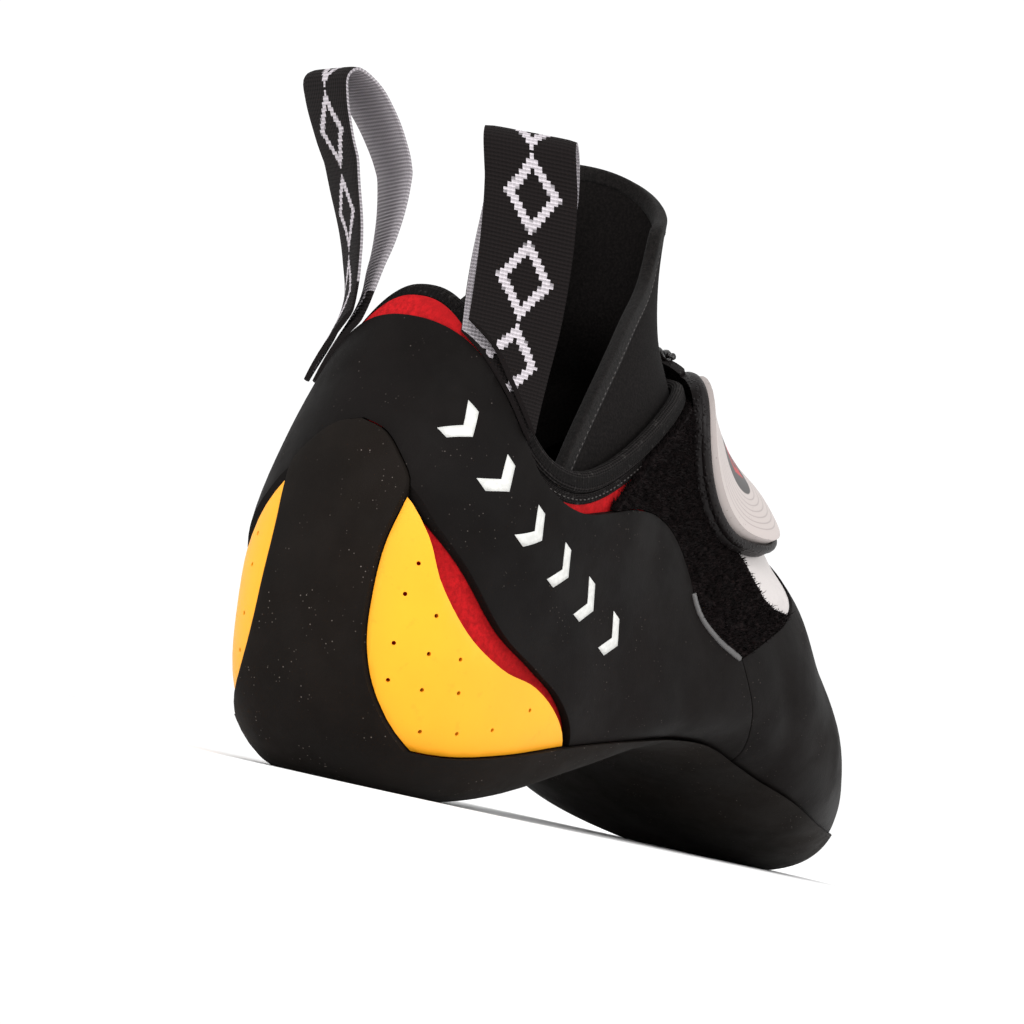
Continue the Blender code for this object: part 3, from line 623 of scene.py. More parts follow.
def arch_region(grow=0.0):
    return prism("arch region", shifted(plan_curve(ARCH_CUT), -grow), "Z", -FAR, FAR)


def panel_region(grow=0.0):
    line = shifted(plan_curve(PANEL_EDGE), -grow)
    outline = list(map(tuple, line)) + [(2 * FAR, line[-1][1]), (2 * FAR, line[0][1])]
    return prism("panel region", outline, "Z", sizes().heel_height * PANEL_FLOOR, FAR)


def sole_bar(margin, reach):
    """A bar that follows the underside, for the upper's opening and the insole."""
    s = sizes()
    back, front = ((end - s.heel_rest) * s.length for end in SOLE_BAR)
    top = SOLE_BAR_TOP * s.arch_height
    rows = [row for row in section_rows() if back < row[0] < front and row[1] < top]
    points, faces = [], []
    for row in rows[:: 2]:
        for climb, side in ((-reach, -1), (-reach, 1), (reach, 1), (reach, -1)):
            half = row[4] if side < 0 else row[5]
            points.append((row[0], row[6] + side * (half - margin), row[1] + climb))
    for ring in range(len(points) // 4 - 1):
        for side in range(4):
            here, beside = ring * 4 + side, ring * 4 + (side + 1) % 4
            faces.append((here, beside, beside + 4, here + 4))
    faces.append((0, 1, 2, 3))
    faces.append(tuple(len(points) - 4 + side for side in range(4)))
    return mesh_object("sole bar", points, faces, turn_out=True)


def pad_disc(rim, corners=96):
    """A cutter in the shape of the pad and this much round it, square to the skin there."""
    s = sizes()
    point, along, across, normal = skin_frame(s.pad_station, s.pad_turn)
    turned = Matrix((along, across, normal)).transposed().to_4x4()
    turned.translation = point
    clear_selection()
    bpy.ops.mesh.primitive_cylinder_add(vertices=corners, radius=0.5, depth=s.pad_long)
    disc = bpy.context.active_object
    disc.data.transform(turned @ Matrix.Diagonal((s.pad_long + 2 * rim, s.pad_wide + 2 * rim, 1.0, 1.0)))
    return disc


def rounded(piece, width, segments=2, angle=40):
    """Rounds the sharp edges of a carved piece and shades it smooth."""
    activate(piece)
    weld = piece.modifiers.new("weld", "WELD")
    weld.merge_threshold = 0.00003
    bpy.ops.object.modifier_apply(modifier="weld")
    bevel = piece.modifiers.new("rounding", "BEVEL")
    bevel.width = width
    bevel.segments = segments
    bevel.limit_method = "ANGLE"
    bevel.angle_limit = math.radians(angle)
    bevel.use_clamp_overlap = True
    bpy.ops.object.modifier_apply(modifier="rounding")
    bpy.ops.object.shade_smooth_by_angle(angle=math.radians(50))


def line_inside(piece):
    """Gives the inner faces of a shell its second material."""
    middle = Vector((0.0, 0.0, sizes().heel_height / 2))
    for face in piece.data.polygons:
        away = face.center - middle
        away.x = 0.0
        if away.dot(face.normal) < 0:
            face.material_index = 1


def finish_piece(piece, node, slot, *materials):
    """Gives a piece its materials and lets it stand for its solid."""
    piece.data.materials.clear()
    for material in materials:
        piece.data.materials.append(material)
    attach(piece, "root")
    if node:
        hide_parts(node)


# Materials are built from short helpers, one for each kind of node
class Finish:
    """A material with its shader and the nodes that feed it."""

    def __init__(self, name, base, roughness, **values):
        self.material = bpy.data.materials.new(name)
        self.material.use_nodes = True
        self.tree = self.material.node_tree
        self.shader = self.tree.nodes["Principled BSDF"]
        self.set("Base Color", (*base, 1.0))
        self.set("Roughness", roughness)
        for key, value in values.items():
            self.set(key.replace("_", " ").title().replace("Ior", "IOR"), value)
        self.place = self.node("TexCoord").outputs["Object"]

    def set(self, socket, value):
        self.join(value, self.shader.inputs[socket])

    def join(self, value, socket):
        if isinstance(value, bpy.types.NodeSocket):
            self.tree.links.new(value, socket)
        else:
            socket.default_value = value

    def node(self, kind, **settings):
        made = self.tree.nodes.new("ShaderNode" + kind)
        for key, value in settings.items():
            setattr(made, key, value)
        return made

    def uv(self, name):
        return self.node("UVMap", uv_map=name).outputs["UV"]

    def noise(self, scale, detail=3.0, roughness=0.55):
        made = self.node("TexNoise")
        self.join(self.place, made.inputs["Vector"])
        made.inputs["Scale"].default_value = scale
        made.inputs["Detail"].default_value = detail
        made.inputs["Roughness"].default_value = roughness
        return made.outputs["Fac"]

    def cells(self, scale):
        made = self.node("TexVoronoi")
        self.join(self.place, made.inputs["Vector"])
        made.inputs["Scale"].default_value = scale
        return made.outputs["Distance"]

    def ramp(self, value, low, high, start=0.0, end=1.0):
        made = self.node("MapRange", interpolation_type="SMOOTHSTEP")
        self.join(value, made.inputs["Value"])
        for socket, amount in (("From Min", low), ("From Max", high), ("To Min", start), ("To Max", end)):
            made.inputs[socket].default_value = amount
        return made.outputs["Result"]

    def math(self, operation, first, second=0.0):
        made = self.node("Math", operation=operation)
        self.join(first, made.inputs[0])
        self.join(second, made.inputs[1])
        return made.outputs["Value"]

    def times(self, first, second):
        return self.math("MULTIPLY", first, second)

    def wave(self, along, length):
        """A sine with this wave length."""
        return self.math("SINE", self.times(along, 2 * math.pi / length))

    def split(self, vector):
        made = self.node("SeparateXYZ")
        self.join(vector, made.inputs["Vector"])
        return made.outputs["X"], made.outputs["Y"], made.outputs["Z"]

    def mix(self, share, first, second):
        made = self.node("Mix", data_type="RGBA")
        self.join(share, made.inputs["Factor"])
        for value, socket in ((first, made.inputs[6]), (second, made.inputs[7])):
            self.join(value if isinstance(value, bpy.types.NodeSocket) else (*value, 1.0), socket)
        return made.outputs[2]

    def bump(self, height, distance, strength=1.0, under=None):
        made = self.node("Bump")
        made.inputs["Strength"].default_value = strength
        made.inputs["Distance"].default_value = distance
        self.join(height, made.inputs["Height"])
        if under:
            self.join(under, made.inputs["Normal"])
        return made.outputs["Normal"]


def shade(tone, amount):
    """A tone made lighter or darker."""
    return tuple(min(1.0, channel * amount) for channel in tone)


def rubber_finish(name, tone, roughness=0.55, dust=0.5):
    """Black climbing rubber: a fine grain, faint mottling, pale specks of dust and worn places."""
    made = Finish(name, tone, roughness, specular_ior_level=0.07)
    mottle = made.ramp(made.noise(55, 4), 0.35, 0.70)
    worn = made.ramp(made.noise(18, 5, 0.6), 0.45, 0.75)
    base = made.mix(mottle, tone, shade(tone, 1.55))
    base = made.mix(made.times(worn, 0.5), base, shade(tone, 2.4))
    specks = made.ramp(made.cells(900), 0.16, 0.05)
    where = made.ramp(made.noise(140, 2), 0.50, 0.66)
    base = made.mix(made.times(made.times(specks, where), dust), base, (0.20, 0.17, 0.15))
    made.set("Base Color", base)
    made.set("Roughness", made.ramp(made.noise(70, 4), 0.3, 0.75, roughness - 0.08, roughness + 0.12))
    grain = made.bump(made.noise(2600, 2), 0.00006, 0.5)
    made.set("Normal", made.bump(made.noise(160, 4), 0.00022, 0.45, grain))
    return made.material


def sole_finish():
    return rubber_finish("sole_rubber", colours().sole, 0.72, 0.7)


def rand_finish():
    return rubber_finish("rand_rubber", colours().rand, 0.66, 0.35)


def yellow_finish():
    tone = colours().yellow
    made = Finish("yellow_rubber", tone, 0.50, specular_ior_level=0.25)
    mottle = made.ramp(made.noise(60, 3), 0.3, 0.75)
    base = made.mix(made.times(mottle, 0.35), tone, shade(tone, 0.84))
    grime = made.ramp(made.noise(420, 3), 0.62, 0.72)
    made.set("Base Color", made.mix(made.times(grime, 0.10), base, shade(tone, 0.4)))
    grain = made.bump(made.noise(3000, 2), 0.00004, 0.3)
    made.set("Normal", made.bump(made.noise(120, 3), 0.00018, 0.35, grain))
    return made.material


def microfibre_finish():
    """Red synthetic suede with a short nap."""
    tone = colours().red
    made = Finish("red_microfibre", tone, 0.85, specular_ior_level=0.1)
    nap = made.noise(900, 4, 0.7)
    base = made.mix(made.ramp(nap, 0.3, 0.7), shade(tone, 0.72), shade(tone, 1.25))
    made.set("Base Color", made.mix(made.ramp(made.noise(60, 3), 0.4, 0.8), base, shade(tone, 0.8)))
    made.set("Normal", made.bump(nap, 0.00012, 0.7))
    return made.material


def knit_finish():
    """Stretch knit with fine ribs along the binding."""
    tone = colours().knit
    made = Finish("black_knit", tone, 0.9, specular_ior_level=0.1)
    along, across, _ = made.split(made.uv("path"))
    wander = made.times(made.noise(300, 2), 0.0003)
    ribs = made.wave(made.math("ADD", across, wander), 0.00062)
    loops = made.wave(along, 0.0009)
    height = made.math("ADD", ribs, made.times(loops, 0.45))
    base = made.mix(made.ramp(height, -1.2, 1.3), shade(tone, 0.35), shade(tone, 2.3))
    lint = made.ramp(made.noise(900, 3), 0.58, 0.72)
    made.set("Base Color", made.mix(made.times(lint, 0.4), base, (0.07, 0.065, 0.062)))
    made.set("Normal", made.bump(height, 0.00022, 0.8))
    return made.material


def neoprene_finish():
    tone = colours().neoprene
    made = Finish("neoprene", tone, 0.85, specular_ior_level=0.06)
    weave = made.noise(1700, 3, 0.7)
    made.set("Base Color", made.mix(made.ramp(weave, 0.35, 0.7), shade(tone, 0.6), shade(tone, 1.5)))
    soft = made.bump(made.noise(45, 3), 0.0006, 0.3)
    made.set("Normal", made.bump(weave, 0.00014, 0.7, soft))
    return made.material


def hem_finish():
    """Brushed strip sewn round the tongue's edge."""
    tone = colours().neoprene
    made = Finish("tongue_hem", tone, 0.95, specular_ior_level=0.05, sheen_weight=0.04, sheen_roughness=0.6)
    fuzz = made.noise(1300, 4, 0.8)
    made.set("Base Color", made.mix(made.ramp(fuzz, 0.35, 0.75), shade(tone, 0.6), shade(tone, 2.2)))
    made.set("Normal", made.bump(fuzz, 0.0003, 0.9))
    return made.material


def band_edge_highlight_finish():
    # Pale grey and glossy: a painted highlight along the band's top edge
    made = Finish("band_edge_highlight", colours().hem, 0.35, specular_ior_level=0.5)
    made.set("Normal", made.bump(made.noise(1200, 2), 0.0001, 0.5))
    return made.material


def print_finish():
    """Off-white ink printed on rubber."""
    tone = colours().ink
    made = Finish("band_print", tone, 0.6, specular_ior_level=0.2)
    made.set("Base Color", made.mix(made.ramp(made.noise(700, 3), 0.35, 0.7), shade(tone, 0.86), tone))
    made.set("Normal", made.bump(made.noise(1800, 2), 0.00004, 0.4))
    return made.material


def pile_finish():
    tone = colours().pile
    made = Finish("black_pile", tone, 0.95, specular_ior_level=0.08)
    tuft = made.noise(800, 4, 0.75)
    made.set("Base Color", made.mix(made.ramp(tuft, 0.4, 0.75), shade(tone, 0.4), shade(tone, 3.5)))
    made.set("Normal", made.bump(tuft, 0.0005, 0.9))
    return made.material


def panel_finish():
    tone = colours().panel
    made = Finish("pale_panel", tone, 0.60, specular_ior_level=0.2)
    dirt = made.ramp(made.noise(90, 4), 0.45, 0.75)
    made.set("Base Color", made.mix(made.times(dirt, 0.4), tone, shade(tone, 0.55)))
    made.set("Normal", made.bump(made.noise(1500, 3), 0.0001, 0.6))
    return made.material


def woven_finish(name, tone, roughness, gloss):
    """One tone with a fine even weave."""
    made = Finish(name, tone, roughness, specular_ior_level=gloss)
    made.set("Normal", made.bump(made.noise(1500, 3), 0.0001, 0.6))
    return made.material


def insole_finish():
    return woven_finish("insole_fabric", colours().insole, 0.9, 0.1)


def lining_finish():
    """Black stretch lining inside the upper."""
    return woven_finish("black_lining", colours().lining, 0.95, 0.05)


def strap_finish():
    made = Finish("strap_film", colours().webbing, 0.45, specular_ior_level=0.16)
    dots = made.ramp(made.cells(1100), 0.45, 0.15)
    made.set("Normal", made.bump(dots, 0.0002, 0.8))
    return made.material


def braid_finish():
    """Glossy black braid along the strap's back edge."""
    return woven_finish("strap_braid", colours().webbing, 0.28, 0.45)


def pad_finish():
    """Moulded soft rubber with fine rings round a dark middle."""
    tone = colours().pad
    made = Finish("pad_rubber", tone, 0.45, specular_ior_level=0.3)
    along, across, _ = made.split(made.uv("pad"))
    far = made.math("SQRT", made.math("ADD", made.times(along, along), made.times(across, across)))
    rings = made.wave(far, 1 / 13)
    groove = made.times(made.ramp(rings, 0.60, 0.95), made.ramp(far, 0.93, 0.90))
    base = made.mix(made.times(groove, 0.45), tone, shade(tone, 0.40))
    specks = made.times(made.ramp(made.cells(700), 0.14, 0.06), 0.5)
    base = made.mix(specks, base, shade(tone, 0.25))
    core = made.ramp(far, 0.42, 0.40)
    base = made.mix(core, base, colours().mark)
    wide = made.times(made.math("ABSOLUTE", across), 1.6)
    spot = made.math("ADD", made.math("ABSOLUTE", along), wide)
    lozenge = made.times(made.ramp(spot, 0.31, 0.30), made.ramp(spot, 0.15, 0.16))
    base = made.mix(lozenge, base, colours().red)
    made.set("Base Color", base)
    made.set("Normal", made.bump(groove, 0.00035, -0.8))
    return made.material


def webbing_finish(name, tone, motif):
    """Ribbed webbing, with woven lozenges where it has a motif."""
    made = Finish(name, tone, 0.85, specular_ior_level=0.1)
    along, across, _ = made.split(made.uv("ribbon"))
    height = made.math("ADD", made.wave(along, WEFT), made.times(made.wave(across, WEFT), 0.35))
    share = made.ramp(height, -1.1, 1.1)
    base = made.mix(share, shade(tone, 0.70), shade(tone, 1.35))
    if motif:
        # Lozenges in steps of one thread, as a loom makes them
        pale = colours().webbing_back
        wide = made.math("ABSOLUTE", made.math("SNAP", across, 0.0008))
        repeat = made.math("PINGPONG", made.math("SNAP", along, 0.0006), MOTIF)
        reach = made.math("ADD", made.math("DIVIDE", repeat, MOTIF), made.math("DIVIDE", wide, 0.0062))
        ring = made.times(made.ramp(reach, 0.60, 0.62), made.ramp(reach, 0.96, 0.94))
        base = made.mix(ring, base, made.mix(share, shade(pale, 1.2), shade(pale, 1.8)))
    made.set("Base Color", base)
    made.set("Normal", made.bump(height, 0.00012, 0.8))
    return made.material


def thread_finish():
    return Finish("thread", colours().thread, 0.7, specular_ior_level=0.2).material


FINISHES = {
    "sole": sole_finish, "rand": rand_finish, "yellow": yellow_finish, "red": microfibre_finish,
    "knit": knit_finish, "neoprene": neoprene_finish, "pile": pile_finish, "panel": panel_finish,
    # hem edge: the painted highlight along the band's top edge
    "lining": lining_finish, "edge highlight": band_edge_highlight_finish, "hem": hem_finish, "print": print_finish,
    "braid": braid_finish, "insole": insole_finish, "strap": strap_finish, "pad": pad_finish,
    "thread": thread_finish,
    "webbing": lambda: webbing_finish("webbing", colours().webbing, True),
    "webbing back": lambda: webbing_finish("webbing_back", colours().webbing_back, False),
}


def finish(name):
    """A material by its plain name, made once."""
    if name not in KEPT:
        KEPT[name] = FINISHES[name]()
    return KEPT[name]


def trace_down(values):
    """Where the values first change sign down each line from the collar: rings and steps."""
    rings, steps = [], []
    for step in range(values.shape[1]):
        column = values[:, step]
        change = np.nonzero((column[:-1] > 0) & (column[1:] <= 0))[0]
        if len(change):
            low = change[0]
            rings.append(low + column[low] / (column[low] - column[low + 1]))
            steps.append(float(step))
    return np.array(rings), np.array(steps)


def under_skin(depth):
    """The skin's grid of points moved this deep."""
    points, normals = skin()
    return points - normals * depth


def above_line(line, depth):
    """How far each point at this depth lies above a side line."""
    points = under_skin(depth)
    return points[:, :, 2] - np.interp(points[:, :, 0], line[:, 0], line[:, 1])


def collar_path(drop, depth, spacing=0.0008):
    """A path round the collar, this far below its line and this deep."""
    line = shifted(side_curve(COLLAR_LINE), -drop)
    points, normals = skin_at(*trace_down(above_line(line, depth)), depth)
    return spaced(smoothed(points, True), smoothed(normals, True), spacing, closed=True)


def smoothed(grid, closed=False, rounds=3):
    """A path with each point drawn towards its neighbours."""
    for _ in range(rounds):
        before, after = np.roll(grid, 1, axis=0), np.roll(grid, -1, axis=0)
        if not closed:
            before[0], after[-1] = grid[0], grid[-1]
        grid = grid * 0.5 + (before + after) * 0.25
    return grid


def edge_of(line, top, depth, low):
    """The edge of a piece in front of a side line and under a line seen from behind.

    It runs up the lateral side, over the top and down the medial side.
    """
    points, normals = skin()
    placed = points - normals * depth
    half = placed.shape[1] // 2
    ahead = placed[:, :, 0] - np.interp(placed[:, :, 2], line[:, 1], line[:, 0])
    over = placed[:, :, 2] - np.interp(placed[:, :, 1], top[:, 0], top[:, 1])
    sides = []
    for order in (range(half, 2 * half), range(half, 0, -1)):
        found = []
        for ring in range(len(placed)):
            for here, beside in zip(order[:-1], order[1:]):
                first, after = ahead[ring, here], ahead[ring, beside]
                if first > 0 >= after:
                    share = first / (first - after)
                    step = here + share * (beside - here)
                    point, normal = skin_at(ring, step, depth)
                    if low < point[2] < np.interp(point[1], top[:, 0], top[:, 1]):
                        found.append((point, normal))
                    break
        sides.append(found)
    rings, steps = trace_down(over)
    crown = []
    for ring, step in sorted(zip(rings, steps), key=lambda place: -place[1]):
        point, normal = skin_at(ring, step, depth)
        if point[0] > np.interp(point[2], line[:, 1], line[:, 0]):
            crown.append((point, normal))
    whole = sides[0][::-1] + crown + sides[1]
    return np.array([point for point, _ in whole]), np.array([normal for _, normal in whole])


def struck(places, direction, depth=0.0):
    """Where lines from these places meet the skin, moved to a depth, and the normals there."""
    if "tree" not in KEPT:
        points, _ = skin()
        rings, around = points.shape[:2]
        faces = [
            (ring * around + step, ring * around + (step + 1) % around,
             (ring + 1) * around + (step + 1) % around, (ring + 1) * around + step)
            for ring in range(rings - 1) for step in range(around)
        ]
        KEPT["tree"] = BVHTree.FromPolygons([tuple(point) for point in points.reshape(-1, 3)], faces)
    found = []
    for place in places:
        point, normal, _, _ = KEPT["tree"].ray_cast(Vector(place), Vector(direction))
        if point is None:
            raise RuntimeError(f"nothing is struck from {tuple(place)}")
        if normal.dot(Vector(direction)) > 0:
            normal = -normal
        found.append((point - normal * depth, normal))
    return np.array([point for point, _ in found]), np.array([normal for _, normal in found])


def on_side(places, side, depth=0.0):
    """Points of the skin at x / length and z / heel height on one side, -1 for the lateral one."""
    s = sizes()
    starts = [((x - s.heel_rest) * s.length, side * FAR, z * s.heel_height) for x, z in places]
    return struck(starts, (0, -side, 0), depth)


def at_places(wanted, places, grid):
    """Rows of a grid read at these places along it."""
    return np.stack([np.interp(wanted, places, axis) for axis in grid.T], axis=-1)


def run_of(points):
    """How far along a path each of its points lies."""
    return np.concatenate([[0.0], np.cumsum(np.linalg.norm(np.diff(points, axis=0), axis=1))])


def spaced(points, normals, spacing, closed=False):
    """Points and normals at even distances along a path."""
    if closed:
        points = np.concatenate([points, points[:1]])
        normals = np.concatenate([normals, normals[:1]])
    place = run_of(points)
    count = max(2, int(round(place[-1] / spacing)))
    wanted = np.linspace(0, place[-1], count + 1)
    if closed:
        wanted = wanted[:-1]
    return at_places(wanted, place, points), unit(at_places(wanted, place, normals))


def sweep(name, points, normals, section, closed=False, uv="path"):
    """A section carried along a path. The section gives reach out of the skin and across the path."""
    section = np.array(section)
    if closed:
        tangent = np.roll(points, -1, axis=0) - np.roll(points, 1, axis=0)
    else:
        tangent = np.gradient(points, axis=0)
    tangent = unit(tangent)
    across = unit(np.cross(tangent, normals))
    out = np.cross(across, tangent)
    count, sides = len(points), len(section)
    placed = (
        points[:, None, :]
        + out[:, None, :] * section[None, :, 0, None]
        + across[:, None, :] * section[None, :, 1, None]
    )
    faces = []
    for ring in range(count if closed else count - 1):
        after = (ring + 1) % count
        for side in range(sides):
            beside = (side + 1) % sides
            here, ahead = ring * sides, after * sides
            faces.append((here + side, here + beside, ahead + beside, ahead + side))
    if not closed:
        faces.append(tuple(range(sides)))
        faces.append(tuple((count - 1) * sides + side for side in range(sides)))
    made = mesh_object(name, placed.reshape(-1, 3), faces, turn_out=True)
    along, girth = run_of(points), run_of(section)
    layer = made.data.uv_layers.new(name=uv)
    step = along[1] - along[0]
    for face in made.data.polygons:
        rows = [made.data.loops[i].vertex_index // sides for i in face.loop_indices]
        wraps = closed and max(rows) - min(rows) > 1
        for i in face.loop_indices:
            ring, side = divmod(made.data.loops[i].vertex_index, sides)
            s = along[ring] if not (wraps and ring == 0) else along[-1] + step
            layer.data[i].uv = (s, girth[side])
    return made


def rounded_section(low, high, wide, corner, per_corner=5):
    """A rounded rectangle from low to high out of the skin, and this wide across."""
    radius = min(corner, (high - low) / 2, wide / 2)
    section = []
    half = wide / 2
    for index, (u, v) in enumerate(((high, half), (low, half), (low, -half), (high, -half))):
        centre = (u - math.copysign(radius, u - (low + high) / 2), v - math.copysign(radius, v))
        start = index * math.pi / 2
        for share in np.linspace(0, 1, per_corner):
            angle = start + share * math.pi / 2
            section.append((centre[0] + radius * math.cos(angle), centre[1] + radius * math.sin(angle)))
    return section


def tube_section(radius, sides=10, flat=1.0):
    angles = np.arange(sides) / sides * 2 * np.pi
    return np.stack([radius * flat * np.cos(angles), radius * np.sin(angles)], axis=1)


def stitches(name, points, normals, pitch, length, radius, lift, slot):
    """A row of short stitches along a path."""
    clear_selection()
    bpy.ops.mesh.primitive_uv_sphere_add(segments=6, ring_count=4, radius=1.0)
    pattern = bpy.context.active_object
    corners = np.array([corner.co for corner in pattern.data.vertices])
    shapes = [tuple(face.vertices) for face in pattern.data.polygons]
    bpy.data.objects.remove(pattern)
    places, outs = spaced(points, normals, pitch)
    ahead, across = beside_path(places, outs)
    across = unit(across)
    all_points, all_faces = [], []
    for place, out, forward, side in zip(places, outs, ahead, across):
        first = len(all_points)
        centre = place + out * lift
        for x, y, z in corners * (length / 2, radius, radius):
            all_points.append(centre + forward * x + side * y + out * z)
        all_faces += [tuple(first + index for index in shape) for shape in shapes]
    made = mesh_object(name, all_points, all_faces)
    made.data.shade_smooth()
    finish_piece(made, None, slot, finish("thread"))
    return made


def layer(name, depth, wall):
    return form(name, depth), form(name + " inside", depth + wall)


def edge_below_binding():
    return shifted(side_curve(COLLAR_LINE), -sizes().binding_width - sizes().gap)


class SHOE_OT_upper(bpy.types.Operator):
    """Adds the red sock of the upper and its insole."""

    bl_idname = "shoe.upper"
    bl_label = "Upper and insole"

    def execute(self, context):
        s = sizes()
        upper, inside = layer("shoe_upper", upper_depth(), s.upper_wall)
        keep(upper, below("upper top", edge_below_binding()))
        cut(upper, sole_bar(s.lasting_margin, LASTING_REACH), inside)
        rounded(upper, 0.0003, 1)
        finish_piece(upper, "upper", "red_microfibre", finish("red"), finish("lining"))
        line_inside(upper)
        insole, inside = layer("shoe_insole", lining_depth() + s.gap, s.insole_board)
        keep(insole, sole_bar(s.insole_margin, INSOLE_REACH))
        cut(insole, inside)
        rounded(insole, 0.0003, 1)
        finish_piece(insole, "insole", "insole_board", finish("insole"))
        return {"FINISHED"}


class SHOE_OT_sole(bpy.types.Operator):
    """Adds the outsole and the rubber that shows in its cut-out."""

    bl_idname = "shoe.sole"
    bl_label = "Sole"

    def execute(self, context):
        s = sizes()
        outsole, inside = layer("shoe_outsole", 0.0, s.sole_rubber)
        keep(outsole, sole_region())
        floor = ((-FAR, -FAR), (2 * FAR, -FAR), (2 * FAR, FAR), (-FAR, FAR))
        ground = prism("ground", floor, "Z", -FAR, 0.0)
        cut(outsole, arch_region(), ground, inside)
        rounded(outsole, 0.0006, 3)
        finish_piece(outsole, "outsole", "sole_rubber", finish("sole"))
        rand, inside = layer("shoe_arch_rand", s.sole_rubber - s.thin_rubber, s.thin_rubber)
        keep(rand, below("arch rand region", sole_edge()), arch_region(-s.gap))
        cut(rand, inside)
        rounded(rand, 0.0003, 2)
        finish_piece(rand, "arch_rand", "rand_rubber", finish("rand"))
        return {"FINISHED"}


class SHOE_OT_rands(bpy.types.Operator):
    """Adds the heel band, the toe rubber and the yellow side patches."""

    bl_idname = "shoe.rands"
    bl_label = "Rands and patches"

    def execute(self, context):
        s = sizes()
        band, inside = layer("shoe_heel_band", s.sole_rubber - s.rand_rubber, s.rand_rubber)
        keep(band, band_region())
        cut(band, inside, sole_region(s.gap))
        rounded(band, 0.0005, 3)
        finish_piece(band, "heel_band", "rand_rubber", finish("rand"))
        toe, inside = layer("shoe_toe_rand", s.sole_rubber - s.rand_rubber, s.rand_rubber)
        keep(toe, toe_region())
        cut(toe, inside, sole_region(s.gap), band_region(s.gap))
        rounded(toe, 0.0005, 3)
        finish_piece(toe, "toe_rand", "rand_rubber", finish("rand"))
        for node, low, high in (("side_patch_lateral", -FAR, 0.0), ("side_patch_medial", 0.0, FAR)):
            patch, inside = layer("shoe_" + node, s.sole_rubber - s.thin_rubber, s.thin_rubber)
            front = side_curve(SIDE_PATCH_FRONT)
            outline = list(map(tuple, front)) + [(front[-1][0], -FAR), (-FAR, -FAR), (-FAR, front[0][1])]
            keep(patch, prism("patch outline", outline, "Y", low, high))
            cut(patch, inside, sole_region(s.gap), band_region(s.gap))
            rounded(patch, 0.0003, 2)
            cut(patch, self.pins(-1 if low < 0 else 1))
            finish_piece(patch, node, "yellow_rubber", finish("yellow"))
        self.add_marks()
        self.add_edge_highlight()
        return {"FINISHED"}

    def add_edge_highlight(self):
        """Rolls a glossy bead along the front end of the band's top edge. Its pale grey is a painted
        highlight on that edge.
        """
        s = sizes()
        line = side_curve(BAND_TOP)
        spots = [(x / s.length + s.heel_rest, z / s.heel_height) for x, z in line]
        spots = [spot for spot in spots if spot[0] > BAND_HIGHLIGHT_BACK]
        points, normals = on_side(spots, -1, s.sole_rubber - s.rand_rubber)
        points, normals = spaced(smoothed(points), smoothed(normals), 0.0004)
        # A pale bead on the band's edge: painted highlight
        hem = sweep("shoe_band_edge_highlight", points, normals, tube_section(0.00075, 12, 0.8))
        hem.data.shade_smooth()
        finish_piece(hem, None, "rand_rubber", finish("edge highlight"))

    def pins(self, side):
        """A cutter with a thin pin square to the skin at each pinhole."""
        s = sizes()
        corners = 10
        points, faces = [], []
        for point, normal in zip(*on_side(PINHOLES, side)):
            along = unit(np.cross(normal, (0.0, 0.0, 1.0)))
            up = np.cross(normal, along)
            first = len(points)
            for reach in (-1, 1):
                for turn in np.arange(corners) / corners * 2 * np.pi:
                    ring = (along * np.cos(turn) + up * np.sin(turn)) * s.pinhole / 2
                    points.append(point + ring + normal * reach * 0.005)
            faces.append(tuple(first + corner for corner in range(corners)))
            faces.append(tuple(first + corners + corner for corner in range(corners)))
            for corner in range(corners):
                here, beside = first + corner, first + (corner + 1) % corners
                faces.append((here, beside, beside + corners, here + corners))
        return mesh_object("pins", points, faces, turn_out=True)

    def add_marks(self, count=6, across=9, along=4):
        """Prints a row of plain chevrons along the lateral side of the band."""
        s = sizes()
        marks = np.array(BAND_MARKS)
        marks = resampled(marks, np.linalg.norm(np.diff(marks, axis=0), axis=1), np.linspace(0, 1, 60))
        line, outs = on_side(marks, -1)
        line, outs = spaced(smoothed(line), smoothed(outs, rounds=20), 0.0005)
        sides = unit(np.cross(outs, np.gradient(line, axis=0)))
        place = run_of(line)
        depth = s.sole_rubber - s.rand_rubber - 0.00004
        points, faces = [], []
        for mark in range(count):
            middle = place[-1] * (mark + 0.5) / count
            first = len(points)
            for high in np.linspace(-1, 1, across):
                for share in np.linspace(0, 1, along):
                    travel = middle + s.mark_stroke * (share - 0.5) - abs(high) * s.mark_height * 0.36
                    spot, out, side = (at_places(travel, place, grid) for grid in (line, outs, sides))
                    start = spot + side * high * s.mark_height / 2 + out * 0.02
                    points.append(struck([start], -out, depth)[0][0])
            for row in range(across - 1):
                for column in range(along - 1):
                    here = first + row * along + column
                    faces.append((here, here + along, here + along + 1, here + 1))
        marks = mesh_object("shoe_band_marks", points, faces)
        activate(marks)
        wall = marks.modifiers.new("film", "SOLIDIFY")
        wall.thickness = 0.00012
        wall.offset = 0.0
        bpy.ops.object.modifier_apply(modifier="film")
        marks.data.shade_smooth()
        finish_piece(marks, None, "rand_rubber", finish("print"))


